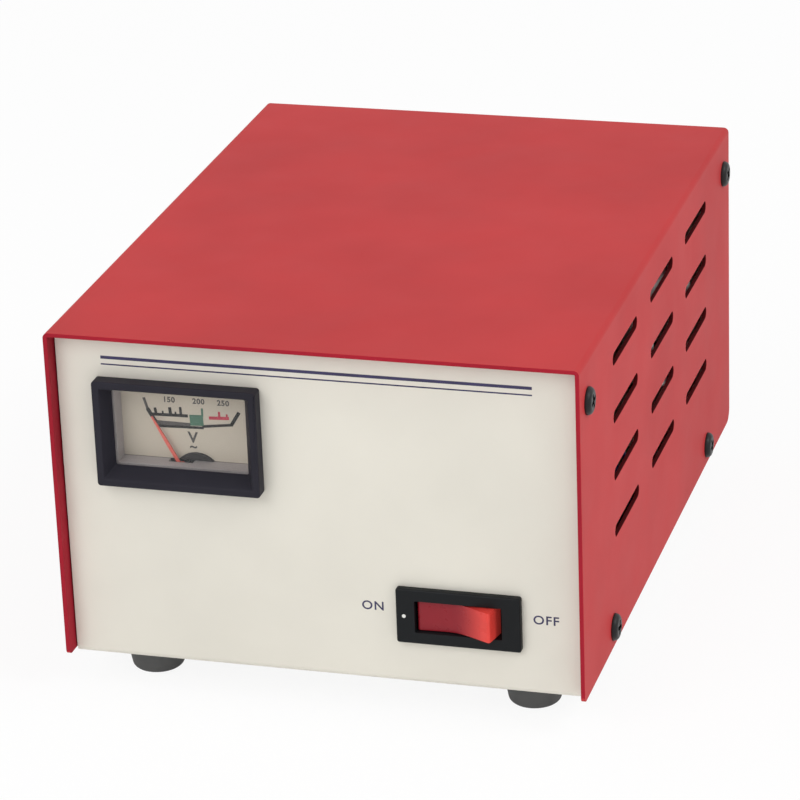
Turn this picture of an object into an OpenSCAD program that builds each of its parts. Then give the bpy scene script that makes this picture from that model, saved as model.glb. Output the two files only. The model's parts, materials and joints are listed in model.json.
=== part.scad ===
// Relay voltage stabilizer in a sheet-steel case.
// Millimetres. +Z is up and the front panel faces -Y.
// The origin is on the floor, under the middle of the whole object.

/* [Cover] */
// Width of the cover
cover_w = 150; // [146:0.5:158]
// Depth of the cover, from its front edge to its rear edge
cover_d = 203; // [200:0.5:215]
// Height of the cover, from its lower edge to its top
cover_h = 97.5; // [96:0.5:106]
// Sheet thickness of the cover
cover_t = 1.2; // [0.8:0.1:1.6]
// Outer radius of the two long folds of the cover
cover_fold_r = 2.6; // [2:0.1:4]
// Radius of the lower rear corners of the cover's sides
cover_rear_r = 4; // [2:0.5:5]
// Radius of the lower front corners of the cover's sides
cover_front_r = 1.5; // [1:0.5:4]
// Length of a side slot
slot_l = 31; // [20:1:40]
// Height of a side slot
slot_h = 3.7; // [3:0.1:3.9]
// Slots along each side
slot_columns = 3; // [2:1:3]
// Rows of slots on each side
slot_rows = 4; // [3:1:4]
// Distance between slot columns
slot_pitch_y = 48.4; // [42:0.1:50]
// Distance between slot rows
slot_pitch_z = 17.1; // [10:0.1:18]
// Middle of the first slot column, behind the front edge
slot_first_y = 54.8; // [40:0.1:60]
// Middle of the upper slot row, below the top of the cover
slot_top_drop = 12.8; // [10:0.1:16]

/* [Chassis] */
// Sheet thickness of the chassis
panel_t = 1; // [0.8:0.1:1.5]
// Front panel set back from the cover's front edge
front_recess = 4.8; // [4:0.1:6]
// Rear panel set back from the cover's rear edge
rear_recess = 4.8; // [4:0.1:6]
// Clearance between the chassis and the cover on each side
cover_gap = 0.4; // [0.2:0.05:0.6]
// Height of the cover's lower edges above the chassis's underside
cover_lift = 1.2; // [0:0.1:2]
// Outer radius of the chassis folds
panel_fold_r = 2; // [1.8:0.1:3.5]
// Height of the turned-up side lips of the floor
lip_h = 13; // [11:0.5:16]
// Depth of the ears that turn back from the front and rear panels
ear_d = 13; // [12:0.5:16]
// Relief gap between the folded parts of the chassis
relief_gap = 1; // [0.5:0.1:2]
// Length of a vent slot in the rear panel
vent_l = 26; // [15:1:30]
// Height of a vent slot in the rear panel
vent_h = 2.6; // [1.5:0.1:3.5]
// Distance between rear vent slots
vent_pitch = 5.6; // [5:0.1:7]
// Vent slots in a bank
vent_count = 3; // [2:1:3]
// Middle of the vent bank, above the chassis's underside
vent_rise = 19; // [17:0.5:22]
// Middle of the vent bank, from the cover's left side
vent_inset_x = 30; // [20:0.5:34]

/* [Cover screws] */
// Head diameter of a cover screw
cover_screw_head_d = 7.8; // [6:0.1:8]
// Head height of a cover screw
cover_screw_head_h = 1.7; // [1.2:0.1:2.4]
// Shank diameter of a cover screw
cover_screw_d = 3.5; // [3:0.1:4]
// Shank length of a cover screw
cover_screw_l = 7; // [5:0.5:9]
// Upper cover screws, from the cover's front or rear edge
upper_screw_inset = 9; // [8.5:0.1:12]
// Upper cover screws, below the top of the cover
upper_screw_drop = 12; // [9:0.1:14]
// Lower cover screws, from the cover's front or rear edge
lower_screw_inset = 36; // [25:0.5:45]
// Lower cover screws, above the cover's lower edge
lower_screw_rise = 6; // [5.5:0.1:7.5]

/* [Feet] */
// Height of a rubber foot
foot_h = 10; // [7:0.5:14]
// Diameter of a foot where it meets the floor plate
foot_d = 18; // [15:0.5:20]
// Diameter of a foot where it stands
foot_tip_d = 14.5; // [11.5:0.5:15]
// Edge radius of a foot's lower rim
foot_edge_r = 1.4; // [0.8:0.1:1.5]
// Foot middle, from the cover's side
foot_inset_x = 19.5; // [18:0.5:22]
// Foot middle, from the cover's front or rear edge
foot_inset_y = 21.7; // [19:0.1:26]
// Head diameter of a foot screw
foot_screw_head_d = 7; // [6:0.1:7.5]
// Head height of a foot screw
foot_screw_head_h = 2.2; // [1.5:0.1:2.6]
// Shank diameter of a foot screw
foot_screw_d = 4; // [3:0.1:4.2]
// Rubber left under a foot screw's head seat
foot_seat_h = 5; // [3:0.5:5.5]

/* [Meter] */
// Width of the meter bezel
meter_w = 47; // [44:0.5:50]
// Height of the meter bezel
meter_h = 31; // [30:0.5:34]
// Depth that the bezel stands out of the front panel
meter_proud = 4.5; // [3:0.1:4.6]
// Bezel middle, from the cover's left side
meter_inset_x = 36.4; // [32:0.1:40]
// Bezel middle, below the top of the cover
meter_drop = 29; // [27.5:0.1:35.5]
// Flat rim of the bezel round its inner slope
bezel_rim = 2; // [1:0.1:2.6]
// Corner radius of the bezel
bezel_corner_r = 0.9; // [0.6:0.1:2]
// Width of the meter window
window_w = 38; // [34:0.5:38]
// Height of the meter window
window_h = 21.8; // [19:0.1:22]
// Thickness of the window pane
window_t = 1; // [0.8:0.1:1.5]
// Window middle above the bezel middle
window_lift = 0.6; // [0.2:0.1:0.8]
// Depth of the meter case behind the panel face
meter_case_d = 26; // [25:0.5:32]
// Wall of the meter case
meter_case_t = 0.9; // [0.7:0.1:1]
// Space between the window pane and the dial
dial_depth = 5.4; // [5:0.1:8]
// Thickness of the dial plate
dial_t = 0.5; // [0.3:0.1:0.8]
// Length of the needle from its pivot
needle_l = 16.5; // [15:0.5:18.5]
// Width of the needle
needle_w = 0.7; // [0.5:0.1:1]
// Angle of the needle at rest, left of upright
needle_rest = 28.5; // [25:0.5:35]
// From the middle of the meter left to the needle's pivot
needle_shift = 1.9; // [0:0.1:2.5]
// Diameter of the meter spindle
spindle_d = 1.2; // [0.8:0.1:1.4]

/* [Power switch] */
// Width of the switch bezel
switch_w = 35.2; // [34:0.1:38]
// Height of the switch bezel
switch_h = 16.3; // [15.5:0.1:18]
// Depth that the switch bezel stands out of the panel
switch_proud = 2.2; // [1.5:0.1:2.5]
// Switch middle, from the cover's left side
switch_inset_x = 114.1; // [108:0.1:118]
// Switch middle, above the cover's lower edge
switch_rise = 20.2; // [19:0.1:24]
// Half length of the rocker
rocker_half = 11; // [10:0.1:11.2]
// Height of the rocker
rocker_h = 8.8; // [7.5:0.1:9]
// Angle between the rocker's middle and either end of its travel
rocker_tilt = 12; // [8:0.5:13]
// Depth of the rocker's face in front of its pivot, at its middle
rocker_face = 3.4; // [2.8:0.1:4]
// Depth of the rocker's pivot behind the panel face
rocker_pivot_depth = 2.4; // [2:0.1:3]
// Diameter of the rocker's moulded pivots
rocker_pivot_d = 2.4; // [1.6:0.1:2.6]
// Depth of the switch body behind the panel face
switch_body_d = 21; // [20.5:0.5:26]
// Length of a switch terminal behind the body
switch_tab_l = 8; // [5:0.5:10]

/* [Transformer] */
// Width of the core's middle leg
core_leg = 28.6; // [24:0.1:29]
// Height of the lamination stack
core_stack = 50; // [35:1:52]
// Transformer middle, from the cover's left side
core_inset_x = 49; // [48:0.5:51]
// Transformer middle, behind the cover's front edge
core_inset_y = 104; // [98:0.5:110]
// Wall of the coil former
former_t = 1.2; // [0.8:0.1:1.5]
// Sheet thickness of the transformer's foot brackets
bracket_t = 1.6; // [1.2:0.1:2]
// Depth of a bracket's foot
bracket_foot = 22; // [20:0.5:24]
// Foot screws of a bracket, from the foot's outer edge
bracket_screw_inset = 5; // [4:0.5:6]
// Diameter of the bolts through the core
core_bolt_d = 4; // [3:0.1:4.4]

/* [Control board] */
// Width of the control board
board_w = 46; // [46:0.5:47]
// Length of the control board
board_l = 98; // [96:1:104]
// Thickness of the control board
board_t = 1.6; // [1:0.1:2]
// Height of the board's standoffs
standoff_h = 7; // [5:0.5:10]
// Board middle, from the cover's right side
board_inset_x = 26.5; // [26:0.1:27.5]
// Board middle, behind the cover's front edge
board_inset_y = 107; // [104:0.5:110]
// Diameter of the board's screws
board_screw_d = 3; // [2:0.1:3]
// Board screws, from the board's edges
board_screw_inset = 4; // [3.5:0.1:5]
// Relays on the board
relay_count = 3; // [2:1:3]
// Length of a relay
relay_l = 19; // [17:0.5:20]
// Width of a relay
relay_w = 15.4; // [14:0.1:16]
// Height of a relay
relay_h = 15.6; // [15:0.1:18]
// Distance between relays
relay_pitch = 18; // [17:0.5:20]
// Side of the square trimmer
trimmer_side = 7; // [6.5:0.1:8]
// Height of the trimmer body
trimmer_h = 5; // [4:0.1:6]

/* [Output sockets] */
// Width of a socket's face plate
socket_w = 50; // [48:0.5:53]
// Height of a socket's face plate
socket_h = 33; // [30:0.5:36]
// Thickness of a socket's face plate
socket_face_t = 2.6; // [2:0.1:4]
// Distance between the middles of the two sockets
socket_pitch = 58; // [56:0.5:62]
// Socket middle, below the top of the cover
socket_drop = 34.5; // [31.5:0.5:37.5]
// Depth of a socket's body behind the rear panel's face
socket_body_d = 21; // [18:0.5:26]
// Diameter of a pin hole
pin_hole_d = 5; // [4.8:0.1:5.4]
// Distance between the two pin holes
pin_pitch = 19; // [18:0.5:20]

/* [Fuse and cable entry] */
// Fuse holder middle, from the cover's right side
fuse_inset_x = 62; // [60:0.5:66]
// Fuse holder and cable gland, above the chassis's underside
entry_rise = 21; // [19:0.5:24]
// Diameter of the fuse holder's body
fuse_body_d = 12.5; // [12:0.1:13]
// Length of the fuse holder behind the rear panel's face
fuse_body_l = 32; // [30:0.5:36]
// Diameter of the fuse cap
fuse_cap_d = 14; // [13:0.1:15]
// Length of the fuse cap outside the holder's flange
fuse_cap_l = 9.5; // [7:0.5:12]
// Length of the fuse cartridge
fuse_l = 20; // [20:1:21]
// Diameter of the fuse cartridge
fuse_d = 5.2; // [5:0.1:5.4]
// Cable gland middle, from the cover's right side
gland_inset_x = 27; // [22:0.5:30]
// Bore of the cable gland
gland_bore_d = 7.2; // [6:0.1:8]
// Thread diameter of the cable gland
gland_d = 12; // [12:0.1:13]
// Length of the gland outside the rear panel
gland_out_l = 10; // [8:0.5:11]

/* [Hidden] */
$fn = 48;

// What a cut runs past the faces that it goes through
overrun = 0.5;
// Radial clearance of a screw in its hole
screw_gap = 0.15;
// Clearance of a piece that drops into another
fit_gap = 0.15;
// Radial clearance of a turning shaft
run_gap = 0.05;
// Clearance between moving pieces and what they pass
move_gap = 0.3;
// Share of a head's diameter that its cross recess takes
recess_share = 0.55;
// Share of a head's height that its cross recess takes
recess_depth_share = 0.6;
// Share of a head's diameter for the width of its recess arms
recess_arm_share = 0.16;
// Across-corners diameter of a nut as a share of its thread
nut_share = 2;
// Height of a nut as a share of its thread
nut_height_share = 0.75;

// How far the rocker's raised end passes the cover's front edge
rocker_end = rocker_face + rocker_half * sin(rocker_tilt);
rocker_reach = rocker_end * cos(rocker_tilt) + rocker_half * sin(rocker_tilt)
  - rocker_pivot_depth - front_recess;
front_reach = max(0, rocker_reach);
// Flange of the fuse holder outside the rear panel
fuse_flange_t = 2.5;
fuse_flange_d = 17;
// How far the rear fittings pass the cover's rear edge
rear_reach = max(fuse_flange_t + fuse_cap_l, gland_out_l) - rear_recess;
front_y = -(front_reach + cover_d + rear_reach) / 2 + front_reach;
rear_y = front_y + cover_d;
panel_y = front_y + front_recess;
back_y = rear_y - rear_recess;
base_z = foot_h;
cover_z = base_z + cover_lift;
top_z = cover_z + cover_h;
left_x = -cover_w / 2;
right_x = cover_w / 2;

panel_w = cover_w - 2 * (cover_t + cover_gap);
panel_d = back_y - panel_y;
panel_h = cover_lift + cover_h - cover_t - cover_gap;
// Radius of the panels' upper corners, which follow the cover's folds
panel_corner_r = cover_fold_r - cover_t - cover_gap;
floor_z = base_z + panel_t;

// Shared shapes

// A flat outline with two round lower corners
module rounded_bottom(w, h, r) {
  translate([r, 0]) square([w - 2 * r, h]);
  translate([0, r]) square([w, h - r]);
  for (x = [r, w - r]) translate([x, r]) circle(r = r);
}

// A centred outline with four round corners
module rounded_rect(w, h, r) {
  square([w - 2 * r, h], center = true);
  square([w, h - 2 * r], center = true);
  for (x = [-1, 1], y = [-1, 1]) translate([x * (w / 2 - r), y * (h / 2 - r)]) circle(r = r);
}

// A plate that stands in the X-Z plane and runs back from y = 0
module upright(depth) {
  translate([0, depth, 0]) rotate([90, 0, 0]) linear_extrude(depth) children();
}

// A rod along +Y from y = 0
module rod_y(d, l) {
  rotate([-90, 0, 0]) cylinder(d = d, h = l);
}

// A rod along +X, centred on x = 0
module rod_x(d, l) {
  rotate([0, 90, 0]) cylinder(d = d, h = l, center = true);
}

// A round-ended slot cut along Y through walls that face X
module slot_x(l, h, through) {
  cube([through, l - h, h], center = true);
  for (s = [-1, 1]) translate([0, s * (l - h) / 2, 0]) rod_x(h, through);
}

// A round-ended slot cut along X through a wall that faces Y
module slot_y(l, h, through) {
  cube([l - h, through, h], center = true);
  for (s = [-1, 1]) translate([s * (l - h) / 2, -through / 2, 0]) rod_y(h, through);
}

// A pan-head screw, its head's seat at z = 0 and its shank along -Z
module pan_screw(head_d, head_h, shank_d, shank_l) {
  difference() {
    rotate_extrude() {
      square([head_d / 2 - head_h / 2, head_h]);
      square([head_d / 2, head_h / 2]);
      translate([head_d / 2 - head_h / 2, head_h / 2]) circle(r = head_h / 2);
      translate([0, -shank_l]) square([shank_d / 2, shank_l]);
    }
    for (turn = [0, 90]) rotate(turn)
      translate([0, 0, head_h * (1 - recess_depth_share / 2) + overrun / 2])
        cube([head_d * recess_share, head_d * recess_arm_share,
          head_h * recess_depth_share + overrun], center = true);
  }
}

// A hexagon nut that sits on z = 0
module hex_nut(thread_d) {
  difference() {
    cylinder(d = thread_d * nut_share, h = thread_d * nut_height_share, $fn = 6);
    translate([0, 0, -overrun])
      cylinder(d = thread_d + 2 * screw_gap, h = thread_d * nut_height_share + 2 * overrun);
  }
}

// Case

slot_through = cover_w + 2 * overrun;

// Places of the cover screws on one side, as [y, z]
screw_places = [
  [front_y + upper_screw_inset, top_z - upper_screw_drop],
  [rear_y - upper_screw_inset, top_z - upper_screw_drop],
  [front_y + lower_screw_inset, cover_z + lower_screw_rise],
  [rear_y - lower_screw_inset, cover_z + lower_screw_rise]
];

// Outline of the folded cover, seen from the front
module cover_outline(w, h, r) {
  translate([0, h]) mirror([0, 1]) rounded_bottom(w, h, r);
}

// Cuts a round corner into the sides' lower edge at depth y
module cover_corner(y, r, facing) {
  translate([0, y, cover_z]) difference() {
    translate([-slot_through / 2, facing > 0 ? -overrun : -r, -overrun])
      cube([slot_through, r + overrun, r + overrun]);
    translate([0, facing * r, r]) rod_x(2 * r, slot_through + 2 * overrun);
  }
}

module cover() {
  color([0.74, 0.28, 0.29]) difference() {
    translate([left_x, front_y, cover_z]) upright(cover_d) difference() {
      cover_outline(cover_w, cover_h, cover_fold_r);
      translate([cover_t, -overrun])
        cover_outline(cover_w - 2 * cover_t, cover_h - cover_t + overrun, cover_fold_r - cover_t);
    }
    for (c = [0:slot_columns - 1], r = [0:slot_rows - 1])
      translate([0, front_y + slot_first_y + c * slot_pitch_y,
        top_z - slot_top_drop - r * slot_pitch_z])
        slot_x(slot_l, slot_h, slot_through);
    for (p = screw_places) translate([0, p[0], p[1]])
      rod_x(cover_screw_d + 2 * screw_gap, slot_through);
    cover_corner(front_y, cover_front_r, 1);
    cover_corner(rear_y, cover_rear_r, -1);
  }
}

module cover_screws() {
  color([0.13, 0.13, 0.14]) for (side = [-1, 1], p = screw_places)
    translate([side * cover_w / 2, p[0], p[1]]) rotate([0, side * 90, 0])
      pan_screw(cover_screw_head_d, cover_screw_head_h, cover_screw_d, cover_screw_l);
}

meter_x = left_x + meter_inset_x;
meter_z = top_z - meter_drop;
// What the meter bezel laps over the edge of its opening
bezel_lap_x = 1.75;
bezel_lap_z = 1.15;
meter_case_w = meter_w - 2 * bezel_lap_x;
meter_case_h = meter_h - 2 * bezel_lap_z;
switch_x = left_x + switch_inset_x;
switch_z = cover_z + switch_rise;
// What the switch bezel laps over the edge of its opening
switch_lap_x = 2.5;
switch_lap_z = 1.65;
switch_body_w = switch_w - 2 * switch_lap_x;
switch_body_h = switch_h - 2 * switch_lap_z;
socket_places = [for (s = [-1, 1]) s * socket_pitch / 2];
socket_z = top_z - socket_drop;
// What a socket's face plate laps over the edge of its opening
socket_lap_x = 6;
socket_lap_z = 2.5;
socket_body_w = socket_w - 2 * socket_lap_x;
socket_body_h = socket_h - 2 * socket_lap_z;
socket_screw_d = 3;
socket_screw_x = (socket_w + socket_body_w) / 4;
fuse_x = right_x - fuse_inset_x;
gland_x = right_x - gland_inset_x;
entry_z = base_z + entry_rise;
foot_places = [for (sx = [-1, 1], y = [front_y + foot_inset_y, rear_y - foot_inset_y])
  [sx * (cover_w / 2 - foot_inset_x), y]];

core_x = left_x + core_inset_x;
core_y = front_y + core_inset_y;
core_w = 3 * core_leg;
core_h = 2.5 * core_leg;
core_yoke = core_leg / 2;
core_window_h = core_h - 2 * core_yoke;
bracket_screw_places = [for (sx = [-1, 1], sy = [-1, 1])
  [core_x + sx * (core_w / 2 - core_yoke / 2),
    core_y + sy * (core_stack / 2 + bracket_t + bracket_foot - bracket_screw_inset)]];
board_x = right_x - board_inset_x;
board_y = front_y + board_inset_y;
board_z = floor_z + standoff_h;
board_screw_places = [for (sx = [-1, 1], sy = [-1, 1])
  [board_x + sx * (board_w / 2 - board_screw_inset), board_y + sy * (board_l / 2 - board_screw_inset)]];

// The ears and lips that the cover screws go into
module chassis_flanges() {
  for (side = [-1, 1]) {
    x = side > 0 ? panel_w / 2 - panel_t : -panel_w / 2;
    translate([x, panel_y + panel_fold_r, base_z])
      cube([panel_t, panel_d - 2 * panel_fold_r, lip_h]);
    for (y = [panel_y, back_y - ear_d])
      translate([x, y, base_z + lip_h + relief_gap])
        cube([panel_t, ear_d, panel_h - lip_h - relief_gap]);
  }
}

// Every opening in the front panel, rear panel and floor
module chassis_cuts() {
  translate([meter_x, panel_y - overrun, meter_z]) upright(panel_t + 2 * overrun)
    square([meter_case_w + 2 * fit_gap, meter_case_h + 2 * fit_gap], center = true);
  translate([switch_x, panel_y - overrun, switch_z]) upright(panel_t + 2 * overrun)
    square([switch_body_w + 2 * fit_gap, switch_body_h + 2 * fit_gap], center = true);
  for (x = socket_places) translate([x, back_y - panel_t - overrun, socket_z]) {
    upright(panel_t + 2 * overrun)
      square([socket_body_w + 2 * fit_gap, socket_body_h + 2 * fit_gap], center = true);
    for (s = [-1, 1]) translate([s * socket_screw_x, 0, 0])
      rod_y(socket_screw_d + 2 * screw_gap, panel_t + 2 * overrun);
  }
  translate([fuse_x, back_y - panel_t - overrun, entry_z])
    rod_y(fuse_body_d + 2 * fit_gap, panel_t + 2 * overrun);
  translate([gland_x, back_y - panel_t - overrun, entry_z])
    rod_y(gland_d + 2 * fit_gap, panel_t + 2 * overrun);
  for (i = [0:vent_count - 1])
    translate([left_x + vent_inset_x, back_y - panel_t / 2,
      base_z + vent_rise + (i - (vent_count - 1) / 2) * vent_pitch])
      slot_y(vent_l, vent_h, panel_t + 2 * overrun);
  for (p = screw_places) translate([0, p[0], p[1]])
    rod_x(cover_screw_d + 2 * screw_gap, slot_through);
  for (p = foot_places) translate([p[0], p[1], base_z - overrun])
    cylinder(d = foot_screw_d + 2 * screw_gap, h = panel_t + 2 * overrun);
  for (p = bracket_screw_places) translate([p[0], p[1], base_z - overrun])
    cylinder(d = core_bolt_d + 2 * screw_gap, h = panel_t + 2 * overrun);
  for (p = board_screw_places) translate([p[0], p[1], base_z - overrun])
    cylinder(d = board_screw_d + 2 * screw_gap, h = panel_t + 2 * overrun);
}

// The whole folded sheet, which its floor and its two panels are parts of
module chassis_sheet() {
  difference() {
    intersection() {
      translate([-panel_w / 2, panel_y, base_z]) upright(panel_d)
        cover_outline(panel_w, panel_h, panel_corner_r);
      union() {
        translate([-panel_w / 2, panel_y, base_z]) rotate([90, 0, 90]) linear_extrude(panel_w)
          difference() {
            rounded_bottom(panel_d, panel_h, panel_fold_r);
            translate([panel_t, panel_t])
              rounded_bottom(panel_d - 2 * panel_t, panel_h, panel_fold_r - panel_t);
          }
        chassis_flanges();
      }
    }
    chassis_cuts();
  }
}

// The space of the floor and its lips, between the two folds
module floor_zone() {
  translate([-cover_w, panel_y + panel_fold_r, 0])
    cube([2 * cover_w, panel_d - 2 * panel_fold_r, base_z + lip_h + relief_gap / 2]);
}

module chassis_floor() {
  color([0.86, 0.84, 0.79]) intersection() {
    chassis_sheet();
    floor_zone();
  }
}

// The panel that faces the front, from the middle of its fold, with its ears
module chassis_front() {
  color([0.89, 0.87, 0.82]) difference() {
    intersection() {
      chassis_sheet();
      translate([-cover_w, panel_y - overrun, 0]) cube([2 * cover_w, panel_d / 2, 2 * cover_h]);
    }
    floor_zone();
  }
}

// The panel that faces the rear, from the middle of its fold, with its ears
module chassis_rear() {
  color([0.89, 0.87, 0.82]) difference() {
    intersection() {
      chassis_sheet();
      translate([-cover_w, panel_y + panel_d / 2, 0]) cube([2 * cover_w, panel_d, 2 * cover_h]);
    }
    floor_zone();
  }
}

// Feet

foot_wall = foot_h - foot_seat_h;

module feet() {
  color([0.09, 0.09, 0.09]) for (p = foot_places) translate([p[0], p[1], 0]) rotate_extrude()
    difference() {
      union() {
        polygon([[0, 0], [foot_tip_d / 2 - foot_edge_r, 0], [foot_tip_d / 2, foot_edge_r],
          [foot_d / 2, foot_h - foot_edge_r], [foot_d / 2, foot_h], [0, foot_h]]);
        translate([foot_tip_d / 2 - foot_edge_r, foot_edge_r]) circle(r = foot_edge_r);
      }
      translate([-overrun, -overrun])
        square([foot_screw_head_d / 2 + fit_gap + overrun, foot_wall + overrun]);
      translate([-overrun, -overrun])
        square([foot_screw_d / 2 + screw_gap + overrun, foot_h + 2 * overrun]);
      translate([-foot_d, -overrun]) square([foot_d, foot_h + 2 * overrun]);
    }
}

foot_screw_l = foot_seat_h + panel_t + foot_screw_d * nut_height_share + overrun;

module foot_screws() {
  color([0.7, 0.7, 0.71]) for (p = foot_places) translate([p[0], p[1], foot_wall]) rotate([180, 0, 0])
    pan_screw(foot_screw_head_d, foot_screw_head_h, foot_screw_d, foot_screw_l);
}

module foot_nuts() {
  color([0.7, 0.7, 0.71]) for (p = foot_places) translate([p[0], p[1], floor_z])
    hex_nut(foot_screw_d);
}

// Meter

window_z = meter_z + window_lift;
pane_y = panel_y;
surround_y = pane_y + window_t;
dial_y = surround_y + dial_depth;
surround_t = 0.9;
surround_w = window_w + 2 * surround_t;
surround_h = window_h + 2 * surround_t;
meter_inner_w = meter_case_w - 2 * meter_case_t;
meter_inner_h = meter_case_h - 2 * meter_case_t;
meter_floor_z = meter_z - meter_inner_h / 2;
meter_back_y = panel_y + meter_case_d;
hub_d = 2.6;
hub_l = 1.1;
pivot_x = meter_x - needle_shift;
pivot_z = meter_floor_z + hub_d / 2 + fit_gap;
needle_t = 0.4;
// Gap from the needle back to the hub cover on the dial
needle_gap = 0.7;
hub_cover_t = 0.8;
needle_y = dial_y - hub_cover_t - needle_gap - needle_t;
surround_low_end = needle_y - move_gap;
needle_slot_w = 7;
bearing_t = 1.4;
bearing_w = 7;
front_bearing_y = needle_y - move_gap - bearing_t;
rear_bearing_y = meter_back_y - meter_case_t - 2 * bearing_t;
rear_bearing_h = 4.6;
bearing_bite = 0.9;

module meter_bezel() {
  color([0.14, 0.14, 0.16]) translate([meter_x, panel_y - meter_proud, meter_z]) difference() {
    upright(meter_proud) rounded_rect(meter_w, meter_h, bezel_corner_r);
    hull() {
      translate([0, -overrun, 0]) upright(overrun)
        square([meter_w - 2 * bezel_rim, meter_h - 2 * bezel_rim], center = true);
      translate([0, meter_proud, window_lift]) upright(overrun)
        square([window_w, window_h], center = true);
    }
  }
}

module meter_window() {
  color([0.8, 0.85, 0.87, 0.4]) translate([meter_x, pane_y, meter_z])
    upright(window_t) square([meter_inner_w - 2 * fit_gap, meter_inner_h - 2 * fit_gap], center = true);
}

module meter_surround() {
  color([0.72, 0.7, 0.66]) difference() {
    translate([meter_x, surround_y, window_z]) upright(dial_depth) difference() {
      square([surround_w, surround_h], center = true);
      square([window_w, window_h], center = true);
    }
    translate([pivot_x - needle_slot_w / 2, surround_low_end,
      window_z - surround_h / 2 - overrun])
      cube([needle_slot_w, dial_depth, surround_t + overrun]);
  }
}

dial_h = surround_h - surround_t;

module meter_dial() {
  color([0.75, 0.71, 0.65])
    translate([meter_x - surround_w / 2, dial_y, window_z + surround_h / 2 - dial_h])
      cube([surround_w, dial_t, dial_h]);
}

hub_cover_half = 5.1;
hub_cover_h = 2.2;
hub_cover_r = (hub_cover_half * hub_cover_half + hub_cover_h * hub_cover_h) / (2 * hub_cover_h);
hub_cover_shift = 2.2;

module meter_hub_cover() {
  color([0.16, 0.15, 0.16])
    translate([meter_x + hub_cover_shift, dial_y - hub_cover_t, window_z - window_h / 2 + fit_gap])
      upright(hub_cover_t) intersection() {
        translate([0, hub_cover_h - hub_cover_r]) circle(r = hub_cover_r);
        translate([-hub_cover_half, 0]) square([2 * hub_cover_half, hub_cover_h]);
      }
}

// The needle lies in its own plane, turned left of upright at rest
module meter_needle() {
  color([0.8, 0.2, 0.16]) translate([pivot_x, needle_y, pivot_z]) {
    rotate([0, -needle_rest, 0]) difference() {
      union() {
        translate([-needle_w / 2, 0, 0]) cube([needle_w, needle_t, needle_l]);
        rod_y(hub_d, hub_l);
      }
      translate([0, -overrun, 0]) rod_y(spindle_d + 2 * run_gap, hub_l + 2 * overrun);
    }
  }
}

vane_back = 5;
vane_y = dial_y + dial_t + vane_back;
vane_t = 0.6;
vane_gap = 0.7;
vane_r = 7;
vane_half_angle = 16;
vane_rest = needle_rest + 38;
spindle_front_y = front_bearing_y + bearing_t - bearing_bite;
spindle_l = rear_bearing_y + bearing_bite - spindle_front_y;

module meter_spindle() {
  color([0.72, 0.72, 0.74]) translate([pivot_x, 0, pivot_z]) {
    translate([0, spindle_front_y, 0]) rod_y(spindle_d, spindle_l);
    translate([0, vane_y, 0]) rotate([0, -vane_rest, 0]) upright(vane_t) intersection() {
      circle(r = vane_r);
      polygon([[0, -spindle_d / 4], [vane_r * tan(vane_half_angle), vane_r],
        [-vane_r * tan(vane_half_angle), vane_r]]);
    }
  }
}

module meter_bearings() {
  color([0.78, 0.64, 0.34]) difference() {
    union() {
      translate([pivot_x - bearing_w / 2, front_bearing_y, meter_floor_z])
        cube([bearing_w, bearing_t, window_z - surround_h / 2 - meter_floor_z]);
      translate([pivot_x - bearing_w / 2, rear_bearing_y, meter_floor_z])
        cube([bearing_w, 2 * bearing_t, rear_bearing_h]);
    }
    for (y = [front_bearing_y + bearing_t - bearing_bite - run_gap, rear_bearing_y - overrun])
      translate([pivot_x, y, pivot_z])
        rod_y(spindle_d + 2 * run_gap, bearing_bite + run_gap + overrun);
  }
}

stud_d = 3;
stud_half_pitch = 12;
stud_flange_d = 6;
coil_left = 5;
coil_w = coil_left + stud_half_pitch - stud_flange_d / 2 - relief_gap;
coil_d = 8;
coil_h = 12;
coil_low = 3.6;
coil_slot = vane_t + 2 * vane_gap;

// A flat coil whose slot draws in the iron vane
module meter_coil() {
  color([0.7, 0.4, 0.2]) difference() {
    union() {
      translate([pivot_x - coil_left, vane_y + vane_t / 2 - coil_d / 2, pivot_z + coil_low])
        cube([coil_w, coil_d, coil_h]);
      translate([pivot_x - coil_left, vane_y, pivot_z + coil_low + coil_h / 2])
        cube([coil_w, meter_back_y - meter_case_t - vane_y, coil_h / 2]);
    }
    translate([pivot_x - coil_left - overrun, vane_y + vane_t / 2 - coil_slot / 2,
      pivot_z + coil_low - overrun])
      cube([coil_left + vane_r / 2 + overrun, coil_slot, vane_r - coil_low + 2 * move_gap + overrun]);
  }
}

clip_t = 1;
clip_h = 8;
clip_d = 7;

module meter_case() {
  color([0.13, 0.13, 0.14]) translate([meter_x, 0, meter_z]) difference() {
    union() {
      translate([0, panel_y, 0]) upright(meter_case_d)
        square([meter_case_w, meter_case_h], center = true);
      for (s = [-1, 1]) translate([s * (meter_case_w / 2 + clip_t / 2), panel_y + panel_t + fit_gap, 0])
        upright(clip_d) square([clip_t, clip_h], center = true);
    }
    translate([0, panel_y - overrun, 0]) upright(meter_case_d - meter_case_t + overrun)
      square([meter_inner_w, meter_inner_h], center = true);
    for (s = [-1, 1]) translate([s * stud_half_pitch, meter_back_y - meter_case_t - overrun, 0])
      rod_y(stud_d + 2 * screw_gap, meter_case_t + 2 * overrun);
  }
}

stud_in = 2;
stud_out = 9;
stud_flange_t = 1;

// The two studs with their nuts
module meter_terminals() {
  color([0.8, 0.66, 0.35]) for (s = [-1, 1])
    translate([meter_x + s * stud_half_pitch, meter_back_y, meter_z]) {
      translate([0, -meter_case_t - stud_in, 0]) rod_y(stud_d, stud_in + meter_case_t + stud_out);
      translate([0, -meter_case_t - stud_flange_t, 0]) rod_y(stud_flange_d, stud_flange_t);
      rotate([-90, 0, 0]) hex_nut(stud_d);
    }
}

// Power switch

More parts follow.
